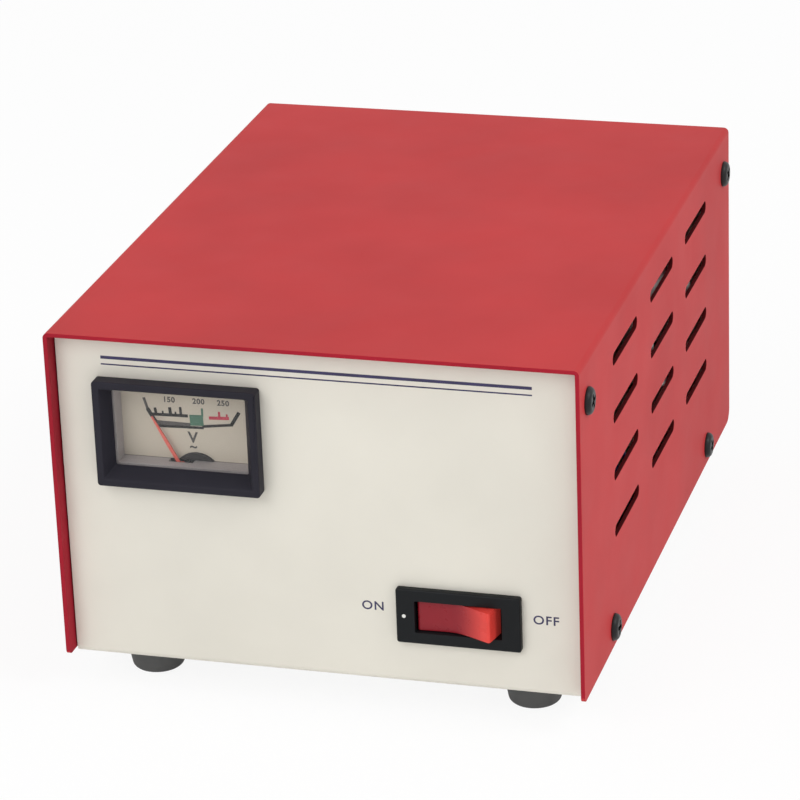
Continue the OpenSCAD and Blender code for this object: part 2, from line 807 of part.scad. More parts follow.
rocker_y = panel_y + rocker_pivot_depth;
opening_half = rocker_half * cos(rocker_tilt) + rocker_end * sin(rocker_tilt) + move_gap;
opening_h = rocker_h + 2 * move_gap;
switch_corner_r = 0.8;
switch_back_t = 2;
switch_inner_y = panel_y + switch_body_d - switch_back_t;
rocker_dip = 3;
rocker_side_back = 1.6;
rocker_side_taper = 0.4;
rocker_belly = 4;
rocker_belly_half = 5.4;
rocker_stem = 7.5;
rocker_stem_half = 2.6;
rocker_points = 12;
pocket_near = 3.4;
pocket_l = 6.4;
pocket_top = 1.6;
lamp_d = 4;
plunger_d = 3;
plunger_tip = 9.6;
plunger_root = 2.6;
contact_half = 8;
contact_t = 0.8;
contact_h = 5;
contact_tilt = 8;
contact_y = rocker_y + plunger_tip + move_gap + contact_t / 2;
contact_dip = contact_half * sin(contact_tilt) + contact_t / 2;
tab_t = 0.8;
tab_h = 4.8;
tab_x = 7.4;

// Depth of the rocker's face in front of its pivot at x
function rocker_face_at(x) = rocker_face + (rocker_end - rocker_face)
  * (sqrt(x * x + rocker_dip * rocker_dip) - rocker_dip)
  / (sqrt(rocker_half * rocker_half + rocker_dip * rocker_dip) - rocker_dip);

module switch_housing() {
  color([0.12, 0.12, 0.13]) translate([switch_x, 0, switch_z]) difference() {
    union() {
      translate([0, panel_y - switch_proud, 0]) upright(switch_proud)
        rounded_rect(switch_w, switch_h, switch_corner_r);
      translate([0, panel_y, 0]) upright(switch_body_d)
        square([switch_body_w, switch_body_h], center = true);
      for (s = [-1, 1])
        translate([s * (switch_body_w / 2 + clip_t / 2), panel_y + panel_t + fit_gap, 0])
          upright(clip_d) square([clip_t, clip_h], center = true);
    }
    translate([0, panel_y - switch_proud - overrun, 0])
      upright(switch_inner_y - panel_y + switch_proud + overrun)
        square([2 * opening_half, opening_h], center = true);
    translate([0, rocker_y, 0])
      cylinder(d = rocker_pivot_d + 2 * run_gap, h = switch_body_h + 2 * overrun, center = true);
    for (i = [-1, 0, 1]) translate([i * tab_x, switch_inner_y - overrun, 0])
      upright(switch_back_t + 2 * overrun)
        square([tab_t + 2 * fit_gap, tab_h + 2 * fit_gap], center = true);
  }
}

// The rocker's outline, seen from above, in the middle of its travel
module rocker_outline() {
  polygon(concat(
    [for (i = [-rocker_points:rocker_points])
      let (x = rocker_half * i / rocker_points) [x, -rocker_face_at(x)]],
    [[rocker_half - rocker_side_taper, rocker_side_back], [rocker_belly_half, rocker_belly],
      [rocker_stem_half, rocker_belly], [rocker_stem_half, rocker_stem],
      [-rocker_stem_half, rocker_stem], [-rocker_stem_half, rocker_belly],
      [-rocker_belly_half, rocker_belly], [-rocker_half + rocker_side_taper, rocker_side_back]]));
}

// Places a rocker piece with its left end pressed in
module rocker_place() {
  translate([switch_x, rocker_y, switch_z]) rotate(-rocker_tilt) children();
}

module switch_rocker() {
  color([0.72, 0.16, 0.16]) rocker_place() difference() {
    union() {
      translate([0, 0, -rocker_h / 2]) linear_extrude(rocker_h) rocker_outline();
      cylinder(d = rocker_pivot_d, h = switch_body_h - 2 * fit_gap, center = true);
    }
    translate([0, plunger_root - fit_gap, 0])
      rod_y(plunger_d + 2 * run_gap, rocker_stem - plunger_root + fit_gap + overrun);
    for (s = [-1, 1]) translate([s * (pocket_near + pocket_l / 2), -pocket_top, 0])
      upright(rocker_belly + pocket_top + overrun)
        square([pocket_l, lamp_d + 2 * fit_gap], center = true);
  }
}

module switch_plunger() {
  color([0.85, 0.83, 0.78]) rocker_place() {
    translate([0, plunger_root, 0]) rod_y(plunger_d, plunger_tip - plunger_d / 2 - plunger_root);
    translate([0, plunger_tip - plunger_d / 2, 0]) sphere(d = plunger_d);
  }
}

module switch_lamp() {
  color([0.95, 0.55, 0.3]) rocker_place()
    translate([pocket_near + pocket_l / 2, lamp_d / 2 - pocket_top + fit_gap, 0])
      rod_x(lamp_d, pocket_l - 2 * fit_gap);
}

// The see-saw contact that the plunger tips over
module switch_contact() {
  color([0.82, 0.68, 0.38]) translate([switch_x, contact_y, switch_z]) rotate(contact_tilt)
    cube([2 * contact_half, contact_t, contact_h], center = true);
}

module switch_terminals() {
  color([0.82, 0.68, 0.38]) for (i = [-1, 0, 1]) translate([switch_x + i * tab_x, 0, switch_z]) {
    start = i == 0 ? contact_y + contact_t / 2 + run_gap : contact_y + contact_dip + run_gap;
    translate([0, start, 0]) upright(panel_y + switch_body_d + switch_tab_l - start)
      square([tab_t, tab_h], center = true);
    if (i != 0) translate([0, start, 0]) upright(tab_t) square([3 * tab_t, tab_h], center = true);
  }
}

// Transformer

core_z = floor_z;
core_bolt_places = [for (sx = [-1, 1], top = [0, 1])
  [core_x + sx * (core_w / 2 - core_yoke / 2),
    core_z + (top == 1 ? core_h - core_yoke / 2 : core_yoke / 2),
    top == 1 ? 0 : bracket_t]];
former_x = core_leg + 2 * (core_yoke - fit_gap);
former_y = core_stack + 2 * (core_yoke - fit_gap);
former_h = core_window_h - 2 * fit_gap;
winding_inset = 0.6;
winding_corner_r = 5;
bolt_head_share = 0.7;

module transformer_core() {
  color([0.33, 0.33, 0.35]) difference() {
    translate([core_x - core_w / 2, core_y - core_stack / 2, core_z])
      cube([core_w, core_stack, core_h]);
    for (s = [-1, 1]) translate([core_x + s * core_leg * 0.75 - core_yoke / 2,
      core_y - core_stack / 2 - overrun, core_z + core_yoke])
      cube([core_yoke, core_stack + 2 * overrun, core_window_h]);
    for (p = core_bolt_places) translate([p[0], core_y - core_stack / 2 - overrun, p[1]])
      rod_y(core_bolt_d + 2 * screw_gap, core_stack + 2 * overrun);
  }
}

module coil_former() {
  tube_x = core_leg + 2 * former_t;
  tube_y = core_stack + 2 * former_t;
  color([0.86, 0.84, 0.76]) translate([core_x, core_y, core_z + core_yoke + fit_gap]) difference() {
    union() {
      linear_extrude(former_h) square([tube_x, tube_y], center = true);
      for (z = [0, former_h - former_t]) translate([0, 0, z])
        linear_extrude(former_t) square([former_x, former_y], center = true);
    }
    translate([0, 0, -overrun]) linear_extrude(former_h + 2 * overrun)
      square([core_leg + 2 * fit_gap, core_stack + 2 * fit_gap], center = true);
  }
}

module transformer_windings() {
  color([0.78, 0.5, 0.18])
    translate([core_x, core_y, core_z + core_yoke + fit_gap + former_t])
      linear_extrude(former_h - 2 * former_t) difference() {
        rounded_rect(former_x - 2 * winding_inset, former_y - 2 * winding_inset, winding_corner_r);
        square([core_leg + 2 * former_t, core_stack + 2 * former_t], center = true);
      }
}

bracket_h = core_yoke - relief_gap;
bracket_screw_head_d = 7.6;
bracket_screw_head_h = 2.4;

module transformer_brackets() {
  color([0.68, 0.69, 0.7]) difference() {
    for (s = [-1, 1]) translate([core_x, core_y + s * core_stack / 2, floor_z]) {
      translate([-core_w / 2, s > 0 ? 0 : -bracket_t, 0]) cube([core_w, bracket_t, bracket_h]);
      translate([-core_w / 2, s > 0 ? 0 : -bracket_t - bracket_foot, 0])
        cube([core_w, bracket_t + bracket_foot, bracket_t]);
    }
    for (p = core_bolt_places) translate([p[0], core_y - core_stack, p[1]])
      rod_y(core_bolt_d + 2 * screw_gap, 2 * core_stack);
    for (p = bracket_screw_places) translate([p[0], p[1], floor_z - overrun])
      cylinder(d = core_bolt_d + 2 * screw_gap, h = bracket_t + 2 * overrun);
  }
}

core_nut_h = core_bolt_d * nut_height_share;

module core_bolts() {
  color([0.75, 0.75, 0.76]) for (p = core_bolt_places)
    translate([p[0], core_y - core_stack / 2 - p[2], p[1]]) {
      rod_y(core_bolt_d, core_stack + 2 * p[2] + core_nut_h + relief_gap);
      rotate([90, 0, 0]) cylinder(d = core_bolt_d * nut_share, h = core_bolt_d * bolt_head_share, $fn = 6);
    }
}

module core_nuts() {
  color([0.75, 0.75, 0.76]) for (p = core_bolt_places)
    translate([p[0], core_y + core_stack / 2 + p[2], p[1]]) rotate([-90, 0, 0])
      hex_nut(core_bolt_d);
}

bracket_screw_tail = 3;
bracket_screw_l = bracket_t + panel_t + bracket_screw_tail;

module bracket_screws() {
  color([0.75, 0.75, 0.76]) for (p = bracket_screw_places)
    translate([p[0], p[1], floor_z + bracket_t])
      pan_screw(bracket_screw_head_d, bracket_screw_head_h, core_bolt_d, bracket_screw_l);
}

// Control board

board_top = board_z + board_t;
standoff_d = 6;
board_screw_tail = 2;

// Places a piece on the board by shares of its width and length
module on_board(share) {
  translate([board_x + share[0] * board_w, board_y + share[1] * board_l, board_top]) children();
}

module control_board() {
  color([0.13, 0.38, 0.2]) difference() {
    translate([board_x - board_w / 2, board_y - board_l / 2, board_z]) cube([board_w, board_l, board_t]);
    for (p = board_screw_places) translate([p[0], p[1], board_z - overrun])
      cylinder(d = board_screw_d + 2 * screw_gap, h = board_t + 2 * overrun);
  }
}

module board_standoffs() {
  color([0.8, 0.8, 0.78]) for (p = board_screw_places) translate([p[0], p[1], floor_z]) difference() {
    cylinder(d = standoff_d, h = standoff_h, $fn = 6);
    translate([0, 0, -overrun])
      cylinder(d = board_screw_d + 2 * screw_gap, h = standoff_h + 2 * overrun);
  }
}

board_screw_head_d = 5.4;
board_screw_head_h = 1.8;

module board_screws() {
  color([0.75, 0.75, 0.76]) for (p = board_screw_places) translate([p[0], p[1], board_top])
    pan_screw(board_screw_head_d, board_screw_head_h, board_screw_d,
      board_t + standoff_h + panel_t + board_screw_tail);
}

// Blade tabs at the board's right edge that the leads push on to
tab_shares = [[0.4, -0.38], [0.4, -0.26], [0.4, -0.14], [0.4, 0.1], [0.4, 0.22], [0.4, 0.34]];
board_tab_h = 8;
board_tab_w = 4.8;
board_tab_foot_w = 6.4;
board_tab_foot_d = 4;
board_tab_foot_h = 1.6;

module board_tabs() {
  color([0.82, 0.68, 0.38]) for (share = tab_shares) on_board(share) {
    translate([-board_tab_w / 2, -tab_t / 2, 0]) cube([board_tab_w, tab_t, board_tab_h]);
    translate([-board_tab_foot_w / 2, -board_tab_foot_d / 2, 0])
      cube([board_tab_foot_w, board_tab_foot_d, board_tab_foot_h]);
  }
}

chip_share = [-0.16, -0.24];
chip_l = 19;
chip_w = 6.4;
chip_h = 3.3;
chip_lift = 0.8;
chip_pins = 7;
chip_pin_pitch = 2.54;
chip_pin_w = 0.5;
chip_pin_out = 1.2;

module control_chip() {
  color([0.12, 0.12, 0.13]) on_board(chip_share) {
    translate([-chip_w / 2, -chip_l / 2, chip_lift]) cube([chip_w, chip_l, chip_h]);
    for (s = [-1, 1], i = [0:chip_pins - 1])
      translate([s * (chip_w / 2 + chip_pin_out / 2), (i - (chip_pins - 1) / 2) * chip_pin_pitch, 0]) {
        translate([-chip_pin_w / 2, -chip_pin_w / 2, 0])
          cube([chip_pin_w, chip_pin_w, chip_lift + chip_h / 2]);
        translate([s > 0 ? -chip_pin_out : 0, -chip_pin_w / 2, chip_lift + chip_h / 2 - chip_pin_w])
          cube([chip_pin_out, chip_pin_w, chip_pin_w]);
      }
  }
}

capacitor_shares = [[-0.3, -0.4], [-0.04, -0.42], [0.16, -0.02]];
capacitor_sizes = [[10, 16], [8, 12], [6.3, 11]];
capacitor_groove = 0.4;
capacitor_groove_z = 2;

module capacitors() {
  color([0.12, 0.16, 0.3]) for (i = [0:len(capacitor_shares) - 1]) on_board(capacitor_shares[i])
    difference() {
      cylinder(d = capacitor_sizes[i][0], h = capacitor_sizes[i][1]);
      translate([0, 0, capacitor_groove_z]) rotate_extrude()
        translate([capacitor_sizes[i][0] / 2, 0]) circle(r = capacitor_groove);
    }
}

resistor_count = 8;
resistor_pitch = 3.6;
resistor_share = [0.16, -0.26];
resistor_l = 6.2;
resistor_d = 2.2;
resistor_span = 8.6;
resistor_wire_d = 0.6;

module resistors() {
  color([0.77, 0.66, 0.5]) on_board(resistor_share) for (i = [0:resistor_count - 1])
    translate([0, (i - (resistor_count - 1) / 2) * resistor_pitch, resistor_d / 2]) {
      rod_x(resistor_d, resistor_l);
      rod_x(resistor_wire_d, resistor_span);
      for (s = [-1, 1]) translate([s * resistor_span / 2, 0, -resistor_d / 2])
        cylinder(d = resistor_wire_d, h = (resistor_d + resistor_wire_d) / 2);
    }
}

trimmer_share = [-0.37, -0.18];
rotor_d = 4.6;
rotor_t = 2;
rotor_proud = 0.4;
rotor_slot_w = 0.8;

module trimmer_body() {
  color([0.16, 0.32, 0.62]) on_board(trimmer_share) difference() {
    translate([-trimmer_side / 2, -trimmer_side / 2, 0]) cube([trimmer_side, trimmer_side, trimmer_h]);
    translate([0, 0, trimmer_h - rotor_t + rotor_proud - run_gap])
      cylinder(d = rotor_d + 2 * run_gap, h = rotor_t + overrun);
  }
}

module trimmer_rotor() {
  color([0.9, 0.9, 0.88]) on_board(trimmer_share)
    translate([0, 0, trimmer_h - rotor_t + rotor_proud]) difference() {
      cylinder(d = rotor_d, h = rotor_t);
      for (turn = [0, 90]) rotate(turn) translate([0, 0, rotor_t])
        cube([rotor_d * recess_share, rotor_slot_w, rotor_slot_w], center = true);
    }
}

// Relays

relay_share = [-0.28, 0.14];
relay_wall = 0.8;
relay_base_t = 2;
relay_yoke_x = -7;
relay_yoke_t = 1.2;
relay_yoke_w = 9;
relay_yoke_top = 10.1;
relay_coil_x = -0.6;
relay_coil_d = 8;
relay_coil_top = 9.1;
relay_core_d = 4;
relay_core_top = 9.3;
armature_gap = 0.15;
armature_t = 0.8;
armature_w = 8.4;
armature_end = 4.2;
blade_w = 3;
blade_t = 0.4;
blade_end = 7.6;
contact_post = 1.6;
contact_post_drop = 1.3;

// Places a piece of relay number i, counted from the front
module relay_place(i) {
  on_board(relay_share) translate([0, (i - (relay_count - 1) / 2) * relay_pitch, 0]) children();
}

module relay_bases() {
  color([0.16, 0.2, 0.3]) for (i = [0:relay_count - 1]) relay_place(i) linear_extrude(relay_base_t)
    square([relay_l - 2 * relay_wall - 2 * fit_gap, relay_w - 2 * relay_wall - 2 * fit_gap], center = true);
}

module relay_coils() {
  color([0.74, 0.42, 0.2]) for (i = [0:relay_count - 1]) relay_place(i) {
    translate([relay_coil_x, 0, relay_base_t])
      cylinder(d = relay_coil_d, h = relay_coil_top - relay_base_t);
    translate([relay_coil_x, 0, relay_base_t]) cylinder(d = relay_core_d, h = relay_core_top - relay_base_t);
    translate([relay_yoke_x, -relay_yoke_w / 2, relay_base_t])
      cube([relay_yoke_t, relay_yoke_w, relay_yoke_top - relay_base_t]);
    translate([relay_yoke_x, -relay_yoke_w / 2, relay_base_t])
      cube([relay_coil_x - relay_yoke_x, relay_yoke_w, relay_yoke_t]);
    translate([blade_end - contact_post, -contact_post / 2, relay_base_t])
      cube([contact_post, contact_post,
        relay_yoke_top + armature_gap + armature_t - contact_post_drop - relay_base_t]);
  }
}

module relay_covers() {
  color([0.18, 0.42, 0.68]) for (i = [0:relay_count - 1]) relay_place(i) difference() {
    linear_extrude(relay_h) square([relay_l, relay_w], center = true);
    translate([0, 0, -overrun]) linear_extrude(relay_h - relay_wall + overrun)
      square([relay_l - 2 * relay_wall, relay_w - 2 * relay_wall], center = true);
  }
}

// The armature hinges on the yoke's upper edge and carries the contact blade
module relay_armature(i) {
  color([0.7, 0.7, 0.72]) relay_place(i) translate([0, 0, relay_yoke_top + armature_gap]) {
    translate([relay_yoke_x, -armature_w / 2, 0])
      cube([armature_end - relay_yoke_x, armature_w, armature_t]);
    translate([relay_coil_x, -blade_w / 2, armature_t])
      cube([blade_end - relay_coil_x, blade_w, blade_t]);
  }
}

module relay_armature_1() { relay_armature(0); }
module relay_armature_2() { relay_armature(1); }
module relay_armature_3() { relay_armature(2); }

// Output sockets

socket_corner_r = 2;
pin_wall = 7;
contact_wall = 0.8;
contact_l = 12;
solder_tab_l = 10.5;
solder_tab_w = 3;
earth_slot_w = 2.6;
earth_slot_h = 7.5;
earth_slot_drop = 9;
earth_slot_depth = 8;
contact_start_y = back_y + socket_face_t - pin_wall;

module socket_shells() {
  color([0.9, 0.89, 0.86]) for (x = socket_places) translate([x, 0, socket_z]) difference() {
    union() {
      translate([0, back_y, 0]) upright(socket_face_t)
        rounded_rect(socket_w, socket_h, socket_corner_r);
      translate([0, back_y - socket_body_d, 0]) upright(socket_body_d)
        square([socket_body_w, socket_body_h], center = true);
    }
    for (s = [-1, 1]) translate([s * pin_pitch / 2, 0, 0]) {
      translate([0, back_y - socket_body_d - overrun, 0])
        rod_y(pin_hole_d, socket_body_d + socket_face_t + 2 * overrun);
      translate([0, back_y - socket_body_d - overrun, 0])
        rod_y(pin_hole_d + 2 * (contact_wall + fit_gap), contact_start_y - back_y + socket_body_d + overrun);
    }
    translate([0, back_y + socket_face_t - earth_slot_depth, earth_slot_h - earth_slot_drop])
      upright(earth_slot_depth + overrun) square([earth_slot_w, earth_slot_h], center = true);
    for (s = [-1, 1]) translate([s * socket_screw_x, back_y - overrun, 0])
      rod_y(socket_screw_d + 2 * screw_gap, socket_face_t + 2 * overrun);
  }
}

module socket_contacts() {
  color([0.82, 0.68, 0.38]) for (x = socket_places, s = [-1, 1])
    translate([x + s * pin_pitch / 2, contact_start_y, socket_z]) {
      difference() {
        translate([0, -contact_l, 0]) rod_y(pin_hole_d + 2 * contact_wall, contact_l);
        translate([0, -contact_l - overrun, 0]) rod_y(pin_hole_d, contact_l + 2 * overrun);
      }
      intersection() {
        translate([0, -contact_l - solder_tab_l, 0])
          rod_y(pin_hole_d + 2 * contact_wall, solder_tab_l + contact_l / 2);
        translate([-solder_tab_w / 2, -contact_l - solder_tab_l, -pin_hole_d / 2 - contact_wall])
          cube([solder_tab_w, solder_tab_l + contact_l / 2, contact_wall]);
      }
    }
}

socket_screw_head_d = 5.2;
socket_screw_head_h = 1.7;
socket_nut_h = socket_screw_d * nut_height_share;

// The screws of the sockets with their nuts
module socket_fasteners() {
  color([0.75, 0.75, 0.76]) for (x = socket_places, s = [-1, 1])
    translate([x + s * socket_screw_x, back_y, socket_z]) {
      translate([0, socket_face_t, 0]) rotate([-90, 0, 0])
        pan_screw(socket_screw_head_d, socket_screw_head_h, socket_screw_d,
          socket_face_t + panel_t + socket_nut_h + relief_gap);
      translate([0, -panel_t, 0]) rotate([90, 0, 0]) rotate(30) hex_nut(socket_screw_d);
    }
}

// Fuse holder

carrier_wall = 1.5;
carrier_d = fuse_d + 2 * fit_gap + 2 * carrier_wall;
fuse_back_t = 2;
fuse_mouth_y = back_y + fuse_flange_t;
fuse_floor_y = back_y - fuse_body_l + fuse_back_t;
cap_stem_l = 5;
fuse_nut_h = 4;
fuse_nut_d = 19;
cap_grooves = 16;
cap_groove_r = 0.5;
cap_slot_w = 1.6;
cap_slot_depth = 1.4;

module fuse_holder() {
  color([0.11, 0.11, 0.12]) translate([fuse_x, 0, entry_z]) difference() {
    union() {
      translate([0, back_y, 0]) rod_y(fuse_flange_d, fuse_flange_t);
      translate([0, back_y - fuse_body_l, 0]) rod_y(fuse_body_d, fuse_body_l);
    }
    translate([0, fuse_floor_y, 0])
      rod_y(carrier_d + 2 * run_gap, fuse_mouth_y - fuse_floor_y + overrun);
  }
}

module fuse_nut() {
  color([0.14, 0.14, 0.15]) translate([fuse_x, back_y - panel_t - fuse_nut_h, entry_z]) difference() {
    rotate([-90, 0, 0]) cylinder(d = fuse_nut_d, h = fuse_nut_h, $fn = 6);
    translate([0, -overrun, 0]) rod_y(fuse_body_d + 2 * fit_gap, fuse_nut_h + 2 * overrun);
  }
}

carrier_end_y = fuse_mouth_y - run_gap;

module fuse_carrier() {
  color([0.8, 0.66, 0.35]) translate([fuse_x, 0, entry_z]) difference() {
    translate([0, fuse_floor_y + move_gap, 0])
      rod_y(carrier_d, carrier_end_y - fuse_floor_y - move_gap);
    translate([0, fuse_floor_y - overrun, 0])
      rod_y(fuse_d + 2 * fit_gap, carrier_end_y - fuse_floor_y + 2 * overrun);
  }
}

fuse_ferrule_l = 5.5;
fuse_glass_inset = 0.2;

module fuse_cartridge() {
  color([0.82, 0.82, 0.84])
    translate([fuse_x, carrier_end_y - cap_stem_l - move_gap - fuse_l, entry_z]) {
      rod_y(fuse_d, fuse_ferrule_l);
      translate([0, fuse_l - fuse_ferrule_l, 0]) rod_y(fuse_d, fuse_ferrule_l);
      translate([0, fuse_glass_inset, 0])
        rod_y(fuse_d - 2 * fuse_glass_inset, fuse_l - 2 * fuse_glass_inset);
    }
}

module fuse_cap() {
  color([0.1, 0.1, 0.11]) translate([fuse_x, fuse_mouth_y, entry_z]) difference() {
    union() {
      translate([0, run_gap, 0]) rod_y(fuse_cap_d, fuse_cap_l - run_gap);
      translate([0, -cap_stem_l, 0])
        rod_y(fuse_d + 2 * fit_gap - 2 * run_gap, cap_stem_l + fuse_cap_l / 2);
    }
    for (i = [0:cap_grooves - 1]) rotate([0, i * 360 / cap_grooves, 0])
      translate([fuse_cap_d / 2, fuse_flange_t, 0]) rod_y(2 * cap_groove_r, fuse_cap_l);
    translate([0, fuse_cap_l, 0])
      cube([fuse_cap_d * recess_share, 2 * cap_slot_depth, cap_slot_w], center = true);
  }
}

// Cable gland

gland_hex_d = 18;
gland_hex_t = 4;
gland_dome_d = 15;
gland_tip_d = 11;
gland_in_l = 11;
gland_nut_h = 3.5;

module cable_gland() {
  color([0.1, 0.1, 0.11]) translate([gland_x, 0, entry_z]) difference() {
    union() {
      translate([0, back_y, 0]) rotate([-90, 0, 0]) cylinder(d = gland_hex_d, h = gland_hex_t, $fn = 6);
      translate([0, back_y + gland_hex_t, 0]) rotate([-90, 0, 0])
        cylinder(d1 = gland_dome_d, d2 = gland_tip_d, h = gland_out_l - gland_hex_t);
      translate([0, back_y - gland_in_l, 0]) rod_y(gland_d, gland_in_l + gland_hex_t / 2);
    }
    translate([0, back_y - gland_in_l - overrun, 0])
      rod_y(gland_bore_d, gland_in_l + gland_out_l + 2 * overrun);
  }
}

module gland_nut() {
  color([0.12, 0.12, 0.13]) translate([gland_x, back_y - panel_t - gland_nut_h, entry_z]) difference() {
    rotate([-90, 0, 0]) cylinder(d = gland_hex_d, h = gland_nut_h, $fn = 6);
    translate([0, -overrun, 0]) rod_y(gland_d + 2 * fit_gap, gland_nut_h + 2 * overrun);
  }
}

// Leads

lead_d = 2;
lead_sides = 8;
lead_steps = 3;

// A point on a smooth curve through four neighbours, at t from 0 to 1
function curve_at(a, b, c, d, t) = 0.5 * (2 * b + (c - a) * t
  + (2 * a - 5 * b + 4 * c - d) * t * t + (3 * b - a - 3 * c + d) * t * t * t);

// The smooth curve through a route's points
function curve(p) = let (n = len(p) - 1) concat(
  [for (i = [0:n - 1], s = [0:lead_steps - 1])
    curve_at(p[max(i - 1, 0)], p[i], p[i + 1], p[min(i + 2, n)], s / lead_steps)], [p[n]]);

function unit(v) = v / norm(v);

// Direction of a curve at point i
function heading(p, i) = unit(p[min(i + 1, len(p) - 1)] - p[max(i - 1, 0)]);

// One side direction for each point, carried along the curve without twist
function sides_along(p, i, found) = i >= len(p) ? found
  : let (h = heading(p, i), last = found[i - 1])
    sides_along(p, i + 1, concat(found, [unit(last - (last * h) * h)]));

// A round lead along a route whose ends run along the given first and last legs
module lead(route, d = lead_d) {
  p = curve(route);
  h0 = heading(p, 0);
  start = abs(h0[2]) < 0.9 ? cross(h0, [0, 0, 1]) : cross(h0, [1, 0, 0]);
  side = sides_along(p, 1, [unit(start)]);
  n = lead_sides;
  rings = len(p);
  points = [for (i = [0:rings - 1], k = [0:n - 1])
    let (across = cross(heading(p, i), side[i]), a = k * 360 / n)
      p[i] + d / 2 * (cos(a) * side[i] + sin(a) * across)];
  walls = [for (i = [0:rings - 2], k = [0:n - 1], half = [0, 1])
    let (a = i * n + k, b = i * n + (k + 1) % n)
      half == 0 ? [a, a + n, b] : [b, a + n, b + n]];
  polyhedron(points, concat([[for (k = [0:n - 1]) k]],
    walls, [[for (k = [n - 1:-1:0]) (rings - 1) * n + k]]));
}

// Gap between a lead's end and what it joins
lead_gap = 0.3;
// Straight length at each end of a lead
lead_stub = 3;

// The first two points of a lead that leaves a seat along a direction
function leaving(seat, way) = [seat + lead_gap * way, seat + (lead_gap + lead_stub) * way];

// The last two points of a lead that comes to a seat against a direction
function coming(seat, way) = [seat + (lead_gap + lead_stub) * way, seat + lead_gap * way];

up = [0, 0, 1];
back = [0, 1, 0];

// Top of board tab number i
function tab_top(i) = [board_x + tab_shares[i][0] * board_w, board_y + tab_shares[i][1] * board_l,
  board_top + board_tab_h];

// Rear end of switch terminal number i, counted from the middle
function switch_end(i) = [switch_x + i * tab_x, panel_y + switch_body_d + switch_tab_l, switch_z];

// Inner end of the solder tab of socket s, contact c
function socket_end(s, c) = [socket_places[s] + c * pin_pitch / 2,
  contact_start_y - contact_l - solder_tab_l, socket_z - pin_hole_d / 2 - contact_wall / 2];

// Rear end of meter stud s
function stud_end(s) = [meter_x + s * stud_half_pitch, meter_back_y + stud_out, meter_z];

former_top = core_z + core_yoke + fit_gap + former_h;
tap_pitch = 8;
tap_inset = former_t + lead_d;
tap_shares = [[0.04, 0.12], [0.04, 0.2], [0.04, 0.28]];
meter_lead_d = 1.4;

// Where lead number i leaves the front of the coil former's upper flange
function tap_start(i) = [core_x + (i - 1) * tap_pitch, core_y - former_y / 2 + tap_inset, former_top];
function tap_end(i) = [board_x + tap_shares[i][0] * board_w, board_y + tap_shares[i][1] * board_l,
  board_top];

// A place by its distance right of the middle, behind the cover's front edge
// and above the chassis's underside
function at(x, y, z) = [x, front_y + y, base_z + z];

// Routes between a lead's two fixed ends, chosen by hand
output_routes = [
  [at(66.9, 128, 26), at(70.3, 132, 38), at(72, 127, 47.8), at(72, 117, 47), at(71.8, 106, 55),
    at(72, 101.5, 64), at(71.8, 99, 74), at(72, 105, 81), at(71.9, 120, 80.4), at(67, 134, 82),
    at(54, 152, 79), at(39.5, 162, 65)],
  [at(66.9, 141, 26), at(70, 147, 41), at(71.8, 149, 55), at(72, 153, 63.6), at(68, 165, 62),
    at(57, 168, 53), at(44, 160, 46), at(28, 159, 49), at(20, 162, 57)],
  [at(66.9, 117, 27), at(64, 118, 60), at(50, 124, 83), at(20, 134, 86), at(-8, 150, 81),
    at(-19, 162, 65)],
  [at(-40, 141, 67), at(-40, 150, 72), at(-39, 162, 65)]
];
supply_routes = [
  [at(48, 43, 21), at(55, 50, 26), at(64, 62, 31), at(66.9, 69, 27)],
  [at(38, 43, 19), at(30, 49, 15), at(21.2, 60, 11), at(21.2, 90, 8), at(21.2, 130, 8),
    at(20, 146, 12), at(13.5, 157, 20)]
];
// The left lead runs above the others and farthest right before it turns back
tap_routes = [for (i = [0, 1, 2]) let (level = 76 - 5 * i, column = 50 - 5 * i)
  [at(-33 + 8 * i, 68, level - 4), at(-27 + 8 * i, 68, level), at(12, 69, level),
    at(column - 8, 76, level - 2), at(column, 92, level - 12), at(column + 1, 110 + 8 * i, 44),
    at(50.3, 118.8 + 7.8 * i, 29)]];
meter_routes = [
  [at(-50, 47, 69), at(-43, 53, 76), at(-20, 55, 84), at(20, 56, 84), at(52, 66, 70),
    at(65, 79, 42), at(66.9, 81.5, 27)],
  [at(-26, 47, 69), at(-16, 50, 73), at(20, 50, 76), at(50, 60, 65), at(64, 86, 44),
    at(66.9, 93, 27)]
];

module output_leads() {
  rear_tap = [core_x - core_leg / 2, core_y + former_y / 2 - tap_inset, former_top];
  color([0.93, 0.93, 0.91]) {
    lead(concat(leaving(tab_top(4), up), output_routes[0], coming(socket_end(1, 1), -back)));
    lead(concat(leaving(tab_top(5), up), output_routes[1], coming(socket_end(1, -1), -back)));
    lead(concat(leaving(tab_top(3), up), output_routes[2], coming(socket_end(0, 1), -back)));
    lead(concat(leaving(rear_tap, up), output_routes[3], coming(socket_end(0, -1), -back)));
  }
}

module supply_leads() {
  fuse_end = [fuse_x, back_y - fuse_body_l, entry_z];
  color([0.55, 0.2, 0.16]) {
    lead(concat(leaving(switch_end(1), back), supply_routes[0], coming(tab_top(0), up)));
    lead(concat(leaving(switch_end(0), back), supply_routes[1], coming(fuse_end, -back)));
    for (i = [0, 1, 2])
      lead(concat(leaving(tap_start(i), up), tap_routes[i], coming(tap_end(i), up)));
  }
}

module meter_leads() {
  color([0.15, 0.3, 0.6]) for (i = [0, 1])
    lead(concat(leaving(stud_end(2 * i - 1), back), meter_routes[i], coming(tab_top(i + 1), up)),
      meter_lead_d);
}

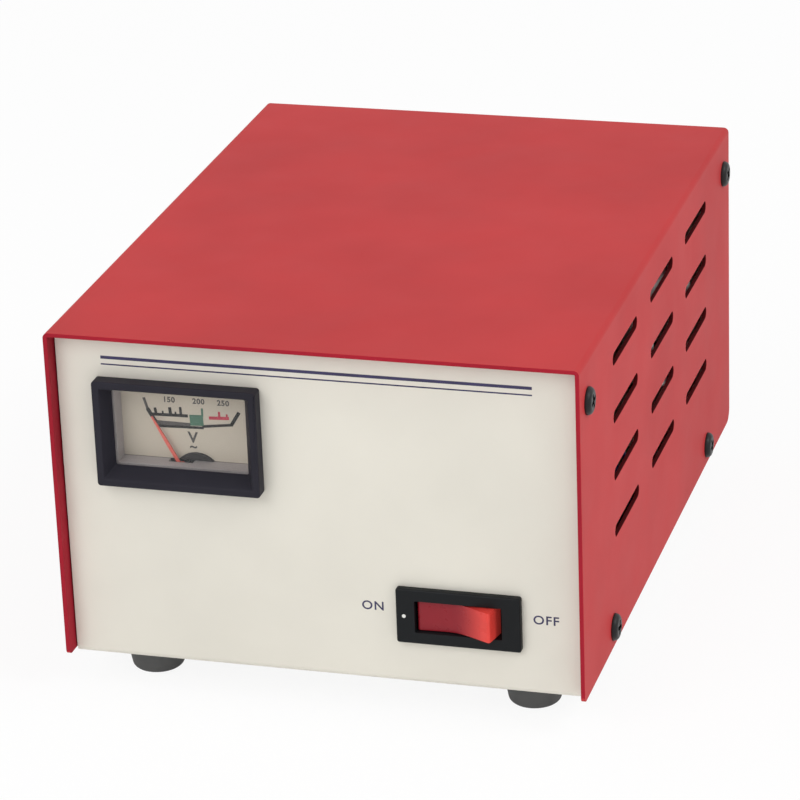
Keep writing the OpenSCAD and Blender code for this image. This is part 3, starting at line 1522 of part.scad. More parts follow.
cover();
chassis_front();
chassis_floor();
chassis_rear();
cover_screws();
feet();
foot_screws();
foot_nuts();
meter_bezel();
meter_window();
meter_surround();
meter_dial();
meter_hub_cover();
meter_needle();
meter_spindle();
meter_bearings();
meter_coil();
meter_case();
meter_terminals();
switch_housing();
switch_rocker();
switch_plunger();
switch_lamp();
switch_contact();
switch_terminals();
transformer_core();
coil_former();
transformer_windings();
transformer_brackets();
core_bolts();
core_nuts();
bracket_screws();
control_board();
board_standoffs();
board_screws();
board_tabs();
control_chip();
capacitors();
resistors();
trimmer_body();
trimmer_rotor();
relay_bases();
relay_coils();
relay_covers();
relay_armature_1();
relay_armature_2();
relay_armature_3();
socket_shells();
socket_contacts();
socket_fasteners();
fuse_holder();
fuse_nut();
fuse_carrier();
fuse_cartridge();
fuse_cap();
cable_gland();
gland_nut();
output_leads();
supply_leads();
meter_leads();
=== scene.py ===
"""Looks of a relay voltage stabilizer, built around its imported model.

Sizes are millimetres of the part's own frame: +Z is up and the front panel faces -Y.
"""

import json
import logging
import math
from dataclasses import dataclass
from enum import Enum
from typing import Callable, Sequence

import bmesh
import bpy
from mathutils import Matrix, Vector


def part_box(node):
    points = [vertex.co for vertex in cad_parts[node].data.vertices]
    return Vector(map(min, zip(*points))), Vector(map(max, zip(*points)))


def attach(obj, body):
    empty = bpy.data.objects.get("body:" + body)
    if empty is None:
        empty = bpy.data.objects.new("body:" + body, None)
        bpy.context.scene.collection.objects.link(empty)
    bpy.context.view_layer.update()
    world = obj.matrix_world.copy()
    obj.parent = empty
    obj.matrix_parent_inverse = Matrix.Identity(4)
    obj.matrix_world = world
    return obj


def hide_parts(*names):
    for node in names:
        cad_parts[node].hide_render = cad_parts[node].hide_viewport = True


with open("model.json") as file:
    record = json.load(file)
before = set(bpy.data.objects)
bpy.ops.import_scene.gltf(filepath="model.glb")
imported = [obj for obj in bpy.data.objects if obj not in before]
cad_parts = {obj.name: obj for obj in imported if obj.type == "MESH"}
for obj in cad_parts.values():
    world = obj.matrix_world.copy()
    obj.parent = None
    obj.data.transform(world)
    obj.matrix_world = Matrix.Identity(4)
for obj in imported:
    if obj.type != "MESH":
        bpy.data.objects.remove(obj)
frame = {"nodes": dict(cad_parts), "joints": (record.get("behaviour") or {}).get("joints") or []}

LOG = logging.getLogger("stabilizer")
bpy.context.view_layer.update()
CHASSIS = ("chassis_front", "chassis_floor", "chassis_rear")
WHITE = (1.0, 1.0, 1.0, 1.0)
MM = 0.001
INK_RISE = 0.04  # How far print stands out
OVER = 1.0  # How far a cutting tool stands out
CAPITAL_SHARE = 0.73  # Height of a capital letter at a font size of 1
BAND_RATE = 0.05 * 2 * math.pi  # A wave texture's scale for one band per unit
CLOUD_ENDS = (0.32, 0.68)  # Noise levels between which a colour cloud fades

Point = Sequence[float]
Colour = tuple[float, float, float]
Table = tuple[tuple, ...]
Test = Callable[[object], bool]
Socket = bpy.types.NodeSocket


class Kind(Enum):
    """The mesh elements that an edit picks."""

    FACE = "FACE"
    EDGE = "EDGE"
    CORNER = "VERT"


class Way(Enum):
    """A direction along one of the frame's axes."""

    RIGHT = (1.0, 0.0, 0.0)
    FRONT = (0.0, -1.0, 0.0)
    BACK = (0.0, 1.0, 0.0)
    UP = (0.0, 0.0, 1.0)

    @property
    def vector(self) -> Vector:
        """The direction as a unit vector."""
        return Vector(self.value)


class Grain(Enum):
    """How the surface of a finish runs: evenly, brushed along X, or in bands across an axis."""

    EVEN = "EVEN"
    BRUSHED = "BRUSHED"
    STACKED = "Y"
    WOUND = "Z"


BANDED = (Grain.STACKED, Grain.WOUND)


def linear(colour: Point) -> tuple[float, float, float, float]:
    """Turns a colour as a picture holds it, from 0 to 1, into the shader's linear values and alpha."""
    parts = [c / 12.92 if c <= 0.04045 else ((c + 0.055) / 1.055) ** 2.4 for c in colour]
    return (parts[0], parts[1], parts[2], 1.0)


@dataclass
class Wiring:
    """A node tree that is filled by short calls."""

    tree: bpy.types.NodeTree

    def feed(self, node: bpy.types.Node, inputs: dict[str, object]) -> None:
        """Gives a node's inputs their values, or links them.

        Args:
            node: The node.
            inputs: A value or another node's output for each input, by its identifier.
        """
        sockets = {socket.identifier: socket for socket in node.inputs}
        for key, value in inputs.items():
            if isinstance(value, Socket):
                self.tree.links.new(value, sockets[key])
            else:
                sockets[key].default_value = value

    def add(self, kind: str, inputs: dict[str, object], **settings: object) -> bpy.types.Node:
        """Adds a node.

        Args:
            kind: Its type, without the leading ShaderNode.
            inputs: What its inputs take, as for feed.
            settings: Its other properties.

        Returns:
            The node.
        """
        node = self.tree.nodes.new(f"ShaderNode{kind}")
        for key, value in settings.items():
            setattr(node, key, value)
        self.feed(node, inputs)
        return node

    def seen(self) -> Socket:
        """Returns 1 for rays that show the background: camera, glossy and transmitted ones."""
        path = self.add("LightPath", {}).outputs
        total = path["Is Camera Ray"]
        for other in ("Is Glossy Ray", "Is Transmission Ray"):
            either = {"Value": total, "Value_001": path[other]}
            total = self.add("Math", either, operation="MAXIMUM").outputs[0]
        return total

    def blend(self, share: Socket, lit: bpy.types.Node, shown: bpy.types.Node, end: str) -> None:
        """Puts a mix of two shaders, with the second one's share, at an end of the tree."""
        mix = self.add("MixShader", {"Fac": share, "Shader": lit.outputs[0], "Shader_001": shown.outputs[0]})
        self.feed(self.tree.nodes[end], {"Surface": mix.outputs[0]})


@dataclass(frozen=True)
class Finish:
    """A surface finish with its fine detail."""

    name: str
    colour: Colour
    roughness: float = 0.45
    metallic: float = 0.0
    coat: float = 0.0
    gloss: float = 0.5
    grain: Grain = Grain.EVEN
    grain_size: float = 0.5
    relief: float = 0.008
    tint: float = 0.06
    tint_size: float = 18.0
    alpha: float = 1.0
    painted_glow: float = 0.0
    painted_light_span: tuple[float, float] | None = None
    painted_shade_colour: Colour = (0.0, 0.0, 0.0)

    def material(self) -> bpy.types.Material:
        """Returns this finish's material, which is made at the first call."""
        made = bpy.data.materials.get(self.name)
        if not made:
            made = bpy.data.materials.new(self.name)
            made.use_nodes = True
            Paint(made.node_tree, self).fill()
        return made


@dataclass
class Paint(Wiring):
    """The nodes of one finish's material."""

    look: Finish

    @property
    def shader(self) -> bpy.types.Node:
        """The material's main shader."""
        return self.tree.nodes["Principled BSDF"]

    def fill(self) -> None:
        """Sets what is even all over, and adds the patterns."""
        look = self.look
        self.feed(self.shader, {"Metallic": look.metallic, "Coat Weight": look.coat, "Alpha": look.alpha,
                                "Specular IOR Level": look.gloss, "Roughness": look.roughness})
        self._colour_cloud()
        self._roughness_cloud()
        bump = self.add("Bump", {"Distance": look.relief * MM, "Strength": 1.0, "Height": self._pattern()})
        self.feed(self.shader, {"Normal": bump.outputs["Normal"]})
        if look.painted_light_span:
            self._paint_light_along_x()

    def _place(self, stretch: Point = (1, 1, 1)) -> Socket:
        """Returns object coordinates in millimetres, stretched along the axes."""
        where = self.add("TexCoord", {}).outputs["Object"]
        return self.add("Mapping", {"Vector": where, "Scale": [s / MM for s in stretch]}).outputs["Vector"]

    def _noise(self, size: float, detail: float, stretch: Point = (1, 1, 1)) -> Socket:
        """Returns noise whose features are about size millimetres across."""
        inputs = {"Vector": self._place(stretch), "Scale": 1.0 / size, "Detail": detail}
        return self.add("TexNoise", inputs).outputs["Fac"]

    def _pattern(self) -> Socket:
        """Returns the height pattern of the finish's grain, whose bands are one grain size apart."""
        look = self.look
        if look.grain in BANDED:
            bands = {"Vector": self._place(), "Scale": BAND_RATE / look.grain_size,
                     "Distortion": 0.4, "Detail": 1.0}
            return self.add("TexWave", bands, bands_direction=look.grain.value).outputs["Fac"]
        if look.grain is Grain.BRUSHED:
            return self._noise(look.grain_size, 3.0, stretch=(0.06, 1.0, 1.0))
        return self._noise(look.grain_size, 2.0)

    def _colour_cloud(self) -> None:
        """Varies the colour in soft clouds, and along the bands of a banded grain."""
        look = self.look
        cloud = self._pattern() if look.grain in BANDED else self._noise(look.tint_size, 3.0)
        ramp = self.add("ValToRGB", {"Fac": cloud})
        low, high = ramp.color_ramp.elements
        low.position, high.position = CLOUD_ENDS
        low.color = linear([c * (1 - look.tint) for c in look.colour])
        high.color = linear([min(1.0, c * (1 + look.tint * 0.6)) for c in look.colour])
        self.feed(self.shader, {"Base Color": ramp.outputs["Color"]})

    def _roughness_cloud(self) -> None:
        """Varies the roughness a little, as handling does."""
        look = self.look
        smooth, rough = max(0.02, look.roughness - 0.06), min(1.0, look.roughness + 0.08)
        cloud = self._noise(look.tint_size * 0.4, 4.0)
        spread = self.add("MapRange", {"Value": cloud, "To Min": smooth, "To Max": rough})
        self.feed(self.shader, {"Roughness": spread.outputs["Result"]})

    def _paint_light_along_x(self) -> None:
        """Paints light along X: over the finish's painted light span the colour rises from a painted shade colour
        to the finish's own, and a painted glow comes in as a highlight.
        """
        look = self.look
        start, end = look.painted_light_span
        across = self.add("SeparateXYZ", {"Vector": self._place()}).outputs["X"]
        rise = self.add("MapRange", {"Value": across, "From Min": start, "From Max": end},
                        interpolation_type="SMOOTHSTEP").outputs["Result"]
        cloud = self.shader.inputs["Base Color"].links[0].from_socket
        shares = {"Factor_Float": rise, "A_Color": linear(look.painted_shade_colour), "B_Color": cloud}
        mix = self.add("Mix", shares, data_type="RGBA")
        power = self.add("Math", {"Value": rise, "Value_001": look.painted_glow}, operation="MULTIPLY")
        self.feed(self.shader, {
            "Base Color": next(s for s in mix.outputs if s.identifier == "Result_Color"),
            "Emission Color": linear(look.colour), "Emission Strength": power.outputs[0]})


def ink(name: str, colour: Colour, tint: float, tint_size: float = 2.0, gloss: float = 0.5) -> Finish:
    """Returns the finish of a thin print."""
    return Finish(name, colour, 0.5, gloss=gloss, grain_size=0.3, relief=0.002, tint=tint,
                  tint_size=tint_size)


RED_ENAMEL = Finish("red_enamel_paint", (0.76, 0.245, 0.252), 0.5, gloss=0.06, grain_size=0.9,
                    relief=0.012, tint=0.035, tint_size=45)
CREAM_ENAMEL = Finish("cream_enamel_paint", (0.9, 0.885, 0.84), 0.5, gloss=0.25, grain_size=0.9,
                      relief=0.01, tint=0.02, tint_size=50)
# Painted shade: a dark red on the slots' walls, where the shadow inside the slots falls
SLOT_WALL_PAINTED_SHADE = Finish("punched_edge_shade", (0.3, 0.05, 0.06), 0.7, gloss=0.1, grain=Grain.BRUSHED,
                      grain_size=0.3, relief=0.006, tint=0.1, tint_size=6)
# Painted shade: a deeper red for the cover's inner walls, both rims and its left front edge, where shade falls
ENAMEL_PAINTED_SHADE = Finish("shaded_enamel_paint", (0.655, 0.14, 0.2), 0.55, gloss=0.06, grain_size=0.9,
                       relief=0.012, tint=0.06, tint_size=40)
BLACK_SCREW = Finish("black_screw_coating", (0.09, 0.085, 0.09), 0.42, gloss=0.3, grain_size=0.25,
                     relief=0.006, tint=0.15, tint_size=3)
FOOT_RUBBER = Finish("foot_rubber", (0.085, 0.085, 0.085), 0.72, grain_size=0.35, relief=0.03, tint=0.15,
                     tint_size=6)
ZINC = Finish("zinc_plate", (0.74, 0.74, 0.73), 0.32, metallic=1.0, grain=Grain.BRUSHED, grain_size=0.3,
              relief=0.004, tint=0.06, tint_size=5)
BEZEL_PLASTIC = Finish("bezel_plastic_black", (0.172, 0.167, 0.198), 0.5, gloss=0.1, grain_size=0.3, relief=0.006)
CASE_PLASTIC = Finish("case_plastic_black", (0.06, 0.07, 0.08), 0.5, gloss=0.2, grain_size=0.3, relief=0.012)
CAP_PLASTIC = Finish("cap_plastic_black", (0.1, 0.1, 0.11), 0.34, grain_size=0.3, relief=0.005)
CLEAR_PANE = Finish("clear_pane_plastic", (0.92, 0.93, 0.93), 0.06, grain_size=6.0, relief=0.004,
                    tint=0.01, alpha=0.03)
GREY_PLASTIC = Finish("surround_grey_plastic", (0.66, 0.63, 0.63), 0.5, grain_size=0.3, relief=0.006)
DIAL_PAINT = Finish("dial_paint_beige", (0.795, 0.755, 0.69), 0.7, gloss=0.2, grain_size=0.4, relief=0.004,
                    tint=0.02)
HUB_PAINT = Finish("hub_cover_paint", (0.17, 0.15, 0.15), 0.55, gloss=0.2, grain_size=0.3, relief=0.004)
NEEDLE_RED = Finish("needle_paint_red", (0.86, 0.36, 0.3), 0.4, grain_size=0.3, relief=0.002, tint=0.03)
BRASS = Finish("bright_brass", (0.83, 0.68, 0.4), 0.28, metallic=1.0, grain=Grain.BRUSHED,
               grain_size=0.25, relief=0.004)
COPPER_WIRE = Finish("enamelled_copper_wire", (0.72, 0.4, 0.2), 0.35, metallic=0.7, grain=Grain.WOUND,
                     grain_size=0.6, relief=0.12, tint=0.2)
WINDING_TAPE = Finish("winding_tape_amber", (0.8, 0.6, 0.22), 0.42, grain=Grain.WOUND, grain_size=1.1,
                      relief=0.12, tint=0.1)
# Painted light: the rocker's raised end glows as a painted highlight, and its pressed end takes a darker colour
# as painted shade
ROCKER_RED = Finish("rocker_plastic_red", (0.83, 0.25, 0.22), 0.28, gloss=0.3, relief=0.003, tint=0.05,
                    tint_size=6, painted_glow=0.16, painted_light_span=(38.0, 49.0), painted_shade_colour=(0.56, 0.1, 0.15))
NYLON = Finish("plunger_nylon", (0.86, 0.84, 0.79), 0.5)
LAMP_GLASS = Finish("lamp_glass_amber", (0.95, 0.6, 0.36), 0.1, relief=0.002, alpha=0.7)
CORE_STEEL = Finish("core_laminations", (0.33, 0.33, 0.35), metallic=0.6, grain=Grain.STACKED, relief=0.08,
                    tint=0.25)
FORMER_PLASTIC = Finish("former_plastic_ivory", (0.86, 0.84, 0.76), 0.5)
BOARD_GREEN = Finish("board_solder_mask", (0.12, 0.36, 0.2), 0.3, coat=0.3, grain_size=1.6, relief=0.01,
                     tint=0.12, tint_size=4)
CHIP_BLACK = Finish("chip_moulding", (0.12, 0.12, 0.13), 0.6)
SLEEVE_BLUE = Finish("capacitor_sleeve_blue", (0.12, 0.16, 0.32), 0.25, tint=0.1, tint_size=4)
RESISTOR_TAN = Finish("resistor_coat_tan", (0.78, 0.67, 0.52), 0.4)
TRIMMER_BLUE = Finish("trimmer_body_blue", (0.16, 0.33, 0.63))
TRIMMER_WHITE = Finish("trimmer_rotor_white", (0.9, 0.9, 0.88))
RELAY_BASE = Finish("relay_base_plastic", (0.16, 0.2, 0.3), 0.5)
RELAY_BLUE = Finish("relay_cover_blue", (0.18, 0.42, 0.68), 0.25, coat=0.2)
NICKEL = Finish("armature_nickel", (0.74, 0.73, 0.71), 0.25, metallic=1.0, grain=Grain.BRUSHED,
                grain_size=0.2, relief=0.003)
SOCKET_WHITE = Finish("socket_plastic_white", (0.91, 0.9, 0.87), 0.3, relief=0.004, tint=0.02)
FUSE_GLASS = Finish("fuse_glass_clear", (0.86, 0.88, 0.88), 0.12, relief=0.002, alpha=0.6)
LEAD_WHITE = Finish("lead_sleeve_white", (0.95, 0.95, 0.93), 0.4, relief=0.004, tint=0.03)
LEAD_BROWN = Finish("lead_sleeve_brown", (0.52, 0.2, 0.16), 0.4, relief=0.004)
LEAD_BLUE = Finish("lead_sleeve_blue", (0.16, 0.31, 0.62), 0.4, relief=0.004)
NAVY_INK = ink("panel_ink_navy", (0.2, 0.18, 0.34), tint=0.1, tint_size=3)
BLACK_INK = ink("dial_ink_black", (0.11, 0.1, 0.1), tint=0.1, gloss=0.2)
GREY_INK = ink("dial_ink_grey", (0.3, 0.28, 0.27), tint=0.08)
GREEN_INK = ink("dial_ink_green", (0.24, 0.42, 0.33), tint=0.06)
RED_INK = ink("dial_ink_red", (0.74, 0.16, 0.26), tint=0.06)
WHITE_INK = ink("switch_ink_white", (0.9, 0.9, 0.88), tint=0.02)


def clear_selection() -> None:
    """Leaves edit mode with nothing selected."""
    if bpy.context.object and bpy.context.object.mode != "OBJECT":
        bpy.ops.object.mode_set(mode="OBJECT")
    bpy.ops.object.select_all(action="DESELECT")


def focus(thing: bpy.types.Object) -> None:
    """Leaves edit mode and makes one object the only selected one."""
    clear_selection()
    thing.select_set(True)
    bpy.context.view_layer.objects.active = thing


def places(part: object) -> list[Vector]:
    """Returns an element's corners in millimetres."""
    corners = [part] if isinstance(part, bmesh.types.BMVert) else part.verts
    return [corner.co / MM for corner in corners]


def lies_at(axis: int, value: float, near: float = 0.02) -> Test:
    """Returns a test for elements that lie wholly at a value of an axis."""
    return lambda part: all(abs(p[axis] - value) < near for p in places(part))


def faces_to(way: Way, share: float = 0.99) -> Test:
    """Returns a test for faces that look one way."""
    return lambda face: face.normal.dot(way.vector) > share


def runs_along(axis: int, share: float = 0.99) -> Test:
    """Returns a test for edges that run along an axis."""
    return lambda edge: abs((places(edge)[0] - places(edge)[1]).normalized()[axis]) > share


def centred(half: float) -> Test:
    """Returns a test for faces whose centre is less than half from X = 0."""
    return lambda face: abs(face.calc_center_median().x / MM) < half


def all_of(*tests: Test) -> Test:
    """Returns a test that passes where every given test passes."""
    return lambda part: all(test(part) for test in tests)


def span(node: str) -> tuple[Vector, Vector]:
    """Returns the lowest and highest corner of a CAD node in millimetres."""
    low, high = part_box(node)
    return low / MM, high / MM


@dataclass
class Form:
    """A mesh that is shaped step by step, in millimetres of the part's frame."""

    thing: bpy.types.Object

    @classmethod
    def box(cls, low: Point, high: Point) -> "Form":
        """Starts from a box between two corners.

        Args:
            low: The lowest corner.
            high: The highest corner.

        Returns:
            The new form.
        """
        clear_selection()
        bpy.ops.mesh.primitive_cube_add(size=1.0)
        thing = bpy.context.object
        thing.location = (Vector(low) + Vector(high)) * MM / 2
        thing.scale = (Vector(high) - Vector(low)) * MM
        bpy.ops.object.transform_apply(location=True, rotation=True, scale=True)
        return cls(thing)

    @classmethod
    def rod(cls, start: Point, radius: float, length: float, way: Way, sides: int,
            end_radius: float | None = None) -> "Form":
        """Starts from a rod or cone.

        Args:
            start: The middle of its first end.
            radius: Its radius there.
            length: Its length along the way.
            way: The direction that it runs in.
            sides: Its number of sides.
            end_radius: Its radius at the far end, where that differs.

        Returns:
            The new form.
        """
        clear_selection()
        bpy.ops.mesh.primitive_cone_add(
            vertices=sides, radius1=radius * MM,
            radius2=(radius if end_radius is None else end_radius) * MM, depth=length * MM,
            location=(Vector(start) + way.vector * length / 2) * MM,
            rotation=way.vector.to_track_quat("Z", "Y").to_euler())
        bpy.ops.object.transform_apply(location=True, rotation=True, scale=True)
        return cls(bpy.context.object)

    @classmethod
    def words(cls, text: str, middle: Point, height: float, spread: float, weight: float,
              wide: float = 1.0) -> "Form":
        """Starts from printed characters that stand in the X-Z plane and face the front.

        Args:
            text: The characters.
            middle: The middle of the print.
            height: The height of a capital letter.
            spread: How far the letters are set apart, 1 as designed.
            weight: What the strokes gain on each side.
            wide: How much wider than designed the letters are.

        Returns:
            The new form.
        """
        clear_selection()
        bpy.ops.object.text_add()
        thing = bpy.context.object
        thing.data.body = text
        thing.data.size = height * MM / CAPITAL_SHARE
        thing.data.space_character = spread
        thing.data.offset = weight * MM
        thing.data.extrude = INK_RISE * MM / 2
        thing.data.resolution_u = 4
        bpy.ops.object.convert(target="MESH")
        corners = [v.co.copy() for v in thing.data.vertices]
        low = Vector([min(c[i] for c in corners) for i in range(3)])
        high = Vector([max(c[i] for c in corners) for i in range(3)])
        upright = Matrix.Rotation(math.radians(90), 4, "X")
        upright @= Matrix.Diagonal((wide, 1, 1, 1))
        thing.data.transform(upright @ Matrix.Translation(-(low + high) / 2))
        return cls(thing).move(middle)

    @classmethod
    def like(cls, node: str) -> "Form":
        """Starts from a copy of a CAD node, with its triangles merged to flat faces.

        Args:
            node: The node's name.

        Returns:
            The new form.
        """
        clear_selection()
        thing = bpy.data.objects.new("form", frame["nodes"][node].data.copy())
        bpy.context.scene.collection.objects.link(thing)
        return cls(thing).flatten()

    @staticmethod
    def joined(forms: Sequence["Form"]) -> "Form":
        """Takes several forms into the first one as separate shells.

        Args:
            forms: The forms.

        Returns:
            The first form.
        """
        focus(forms[0].thing)
        for form in forms[1:]:
            form.thing.select_set(True)
        bpy.ops.object.join()
        return forms[0]

    def copies(self, spots: Sequence[Matrix]) -> "Form":
        """Sets the form at several places, as separate shells of one mesh.

        Args:
            spots: The turn and move of each copy, in millimetres.

        Returns:
            The copies as one form, which takes the pattern's place.
        """
        clear_selection()
        made = []
        for spot in spots:
            thing = self.thing.copy()
            thing.data = self.thing.data.copy()
            bpy.context.scene.collection.objects.link(thing)
            place = spot.copy()
            place.translation *= MM
            thing.data.transform(place)
            made.append(Form(thing))
        bpy.data.objects.remove(self.thing)
        return Form.joined(made)

    def flatten(self) -> "Form":
        """Merges doubled corners, and triangles that lie in one plane."""
        self.pick(Kind.FACE, lambda face: True)
        bpy.ops.mesh.remove_doubles(threshold=0.001 * MM)
        bpy.ops.mesh.dissolve_limited(angle_limit=math.radians(0.6))
        return self

    def round_off(self, swell: float) -> "Form":
        """Turns an eight-sided tube into a round one.

        Args:
            swell: How far the sides move outwards first, because the smoothing draws them in.

        Returns:
            The form itself.
        """
        self.pick(Kind.FACE, lambda face: True)
        bpy.ops.mesh.tris_convert_to_quads(face_threshold=math.radians(60), shape_threshold=math.radians(120))
        bpy.ops.transform.shrink_fatten(value=swell * MM)
        return self._apply("SUBSURF", levels=2, render_levels=2)

    def pick(self, kind: Kind, test: Test) -> "Form":
        """Selects the elements that pass a test, in edit mode.

        Args:
            kind: The kind of element.
            test: The test.

        Returns:
            The form itself.
        """
        focus(self.thing)
        bpy.ops.object.mode_set(mode="EDIT")
        bpy.ops.mesh.select_mode(type=kind.value)
        bpy.ops.mesh.select_all(action="DESELECT")
        shape = bmesh.from_edit_mesh(self.thing.data)
        shape.normal_update()
        for element in {Kind.FACE: shape.faces, Kind.EDGE: shape.edges, Kind.CORNER: shape.verts}[kind]:
            if test(element):
                element.select_set(True)
        bmesh.update_edit_mesh(self.thing.data)
        return self

    def shift(self, move: Point) -> "Form":
        """Moves what is picked."""
        bpy.ops.transform.translate(value=Vector(move) * MM)
        return self

    def stretch(self, factors: Point, middle: Point) -> "Form":
        """Scales what is picked about a point."""
        bpy.ops.transform.resize(value=factors, center_override=Vector(middle) * MM)
        return self

    def push(self, move: Point) -> "Form":
        """Extrudes the picked faces and moves them."""
        bpy.ops.mesh.extrude_region_move(TRANSFORM_OT_translate={"value": Vector(move) * MM})
        return self

    def bevel(self, width: float, segments: int) -> "Form":
        """Rounds the picked edges."""
        bpy.ops.mesh.bevel(offset=width * MM, segments=segments, profile=0.5, affect="EDGES")
        return self

    def slice(self, axis: int, value: float) -> "Form":
        """Cuts edges into the whole form where a plane across an axis meets it.

        Args:
            axis: The number of the axis.
            value: The plane's place on it.

        Returns:
            The form itself.
        """
        self.pick(Kind.FACE, lambda face: True)
        middle, normal = Vector((0, 0, 0)), Vector((0, 0, 0))
        middle[axis], normal[axis] = value * MM, 1.0
        bpy.ops.mesh.bisect(plane_co=middle, plane_no=normal)
        return self

    def _apply(self, kind: str, **settings: object) -> "Form":
        """Adds a modifier and applies it.

        Args:
            kind: The modifier's type.
            settings: Its properties.

        Returns:
            The form itself.
        """
        focus(self.thing)
        modifier = self.thing.modifiers.new(kind.lower(), kind)
        for key, value in settings.items():
            setattr(modifier, key, value)
        bpy.ops.object.modifier_apply(modifier=modifier.name)
        return self

    def cut(self, tool: "Form", operation: str = "DIFFERENCE") -> "Form":
        """Takes another form's volume away, and deletes that form."""
        self._apply("BOOLEAN", operation=operation, solver="EXACT", object=tool.thing)
        bpy.data.objects.remove(tool.thing)
        return self

    def fuse(self, other: "Form") -> "Form":
        """Unites another form's volume with this one, and deletes that form."""
        return self.cut(other, "UNION")

    def soften(self, width: float, segments: int = 2, angle: float = 50.0) -> "Form":
        """Rounds every edge that is sharper than an angle."""
        return self._apply("BEVEL", width=width * MM, segments=segments, limit_method="ANGLE",
                           angle_limit=math.radians(angle), miter_outer="MITER_ARC")

    def turn(self, angle: float, way: Way) -> "Form":
        """Turns the whole form about an axis through the origin."""
        focus(self.thing)
        self.thing.data.transform(Matrix.Rotation(math.radians(angle), 4, way.vector))
        return self

    def move(self, move: Point) -> "Form":
        """Moves the whole form."""
        self.thing.data.transform(Matrix.Translation(Vector(move) * MM))
        return self

    def finish(self, name: str, look: Finish, slot: str, *nodes: str, body: str = "root",
               smooth: float = 32.0) -> bpy.types.Object:
        """Names and dresses the form, and hangs it on a body of the model.

        Args:
            name: The piece's name.
            look: The piece's finish.
            slot: The record's material slot that the finish stands for; not used.
            nodes: The CAD nodes that the piece stands for.
            body: The CAD body that the piece rides on.
            smooth: The angle up to which neighbouring faces shade as one.

        Returns:
            The finished object.
        """
        focus(self.thing)
        bpy.ops.object.shade_smooth_by_angle(angle=math.radians(smooth))
        self._apply("WEIGHTED_NORMAL", keep_sharp=True)
        self.thing.name = name
        self.thing.data.materials.clear()
        self.thing.data.materials.append(look.material())
        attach(self.thing, body)
        if nodes:
            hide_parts(*nodes)
        LOG.info("%s rides on %s", self.thing.name, body)
        return self.thing


def strip(start: Point, end: Point, width: float, face: float) -> Form:
    """Makes one printed stroke that lies on an upright face.

    Args:
        start: Its first end as x and z.
        end: Its last end as x and z.
        width: Its width.
        face: The y of the face that it is printed on.

    Returns:
        The stroke.
    """
    run = Vector((end[0] - start[0], end[1] - start[1]))
    form = Form.box((0, -INK_RISE, -width / 2), (run.length, 0, width / 2))
    return form.turn(-math.degrees(math.atan2(run.y, run.x)), Way.BACK).move((start[0], face, start[1]))


def softened(name: str, node: str, look: Finish, slot: str, edge: float,
             body: str = "root") -> bpy.types.Object:
    """Copies a CAD node, rounds the copy's edges by a width, and dresses it."""
    return Form.like(node).soften(edge).finish(name, look, slot, node, body=body)


def dress(look: Finish, *nodes: str) -> None:
    """Gives CAD nodes that stay their finish.

    Args:
        look: The finish.
        nodes: The nodes' names.
    """
    for node in nodes:
        thing = frame["nodes"][node]
        thing.data.materials.clear()
        thing.data.materials.append(look.material())
        LOG.info("%s keeps its shape", node)


@dataclass(frozen=True)
class Layout:
    """Places of the case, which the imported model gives."""

    left: float
    right: float
    front: float
    rear: float
    bottom: float
    top: float
    panel: float

    @classmethod
    def of_model(cls) -> "Layout":
        """Reads the places from the cover and the chassis."""
        low, high = span("cover")
        return cls(low.x, high.x, low.y, high.y, low.z, high.z, span(CHASSIS[0])[0].y)


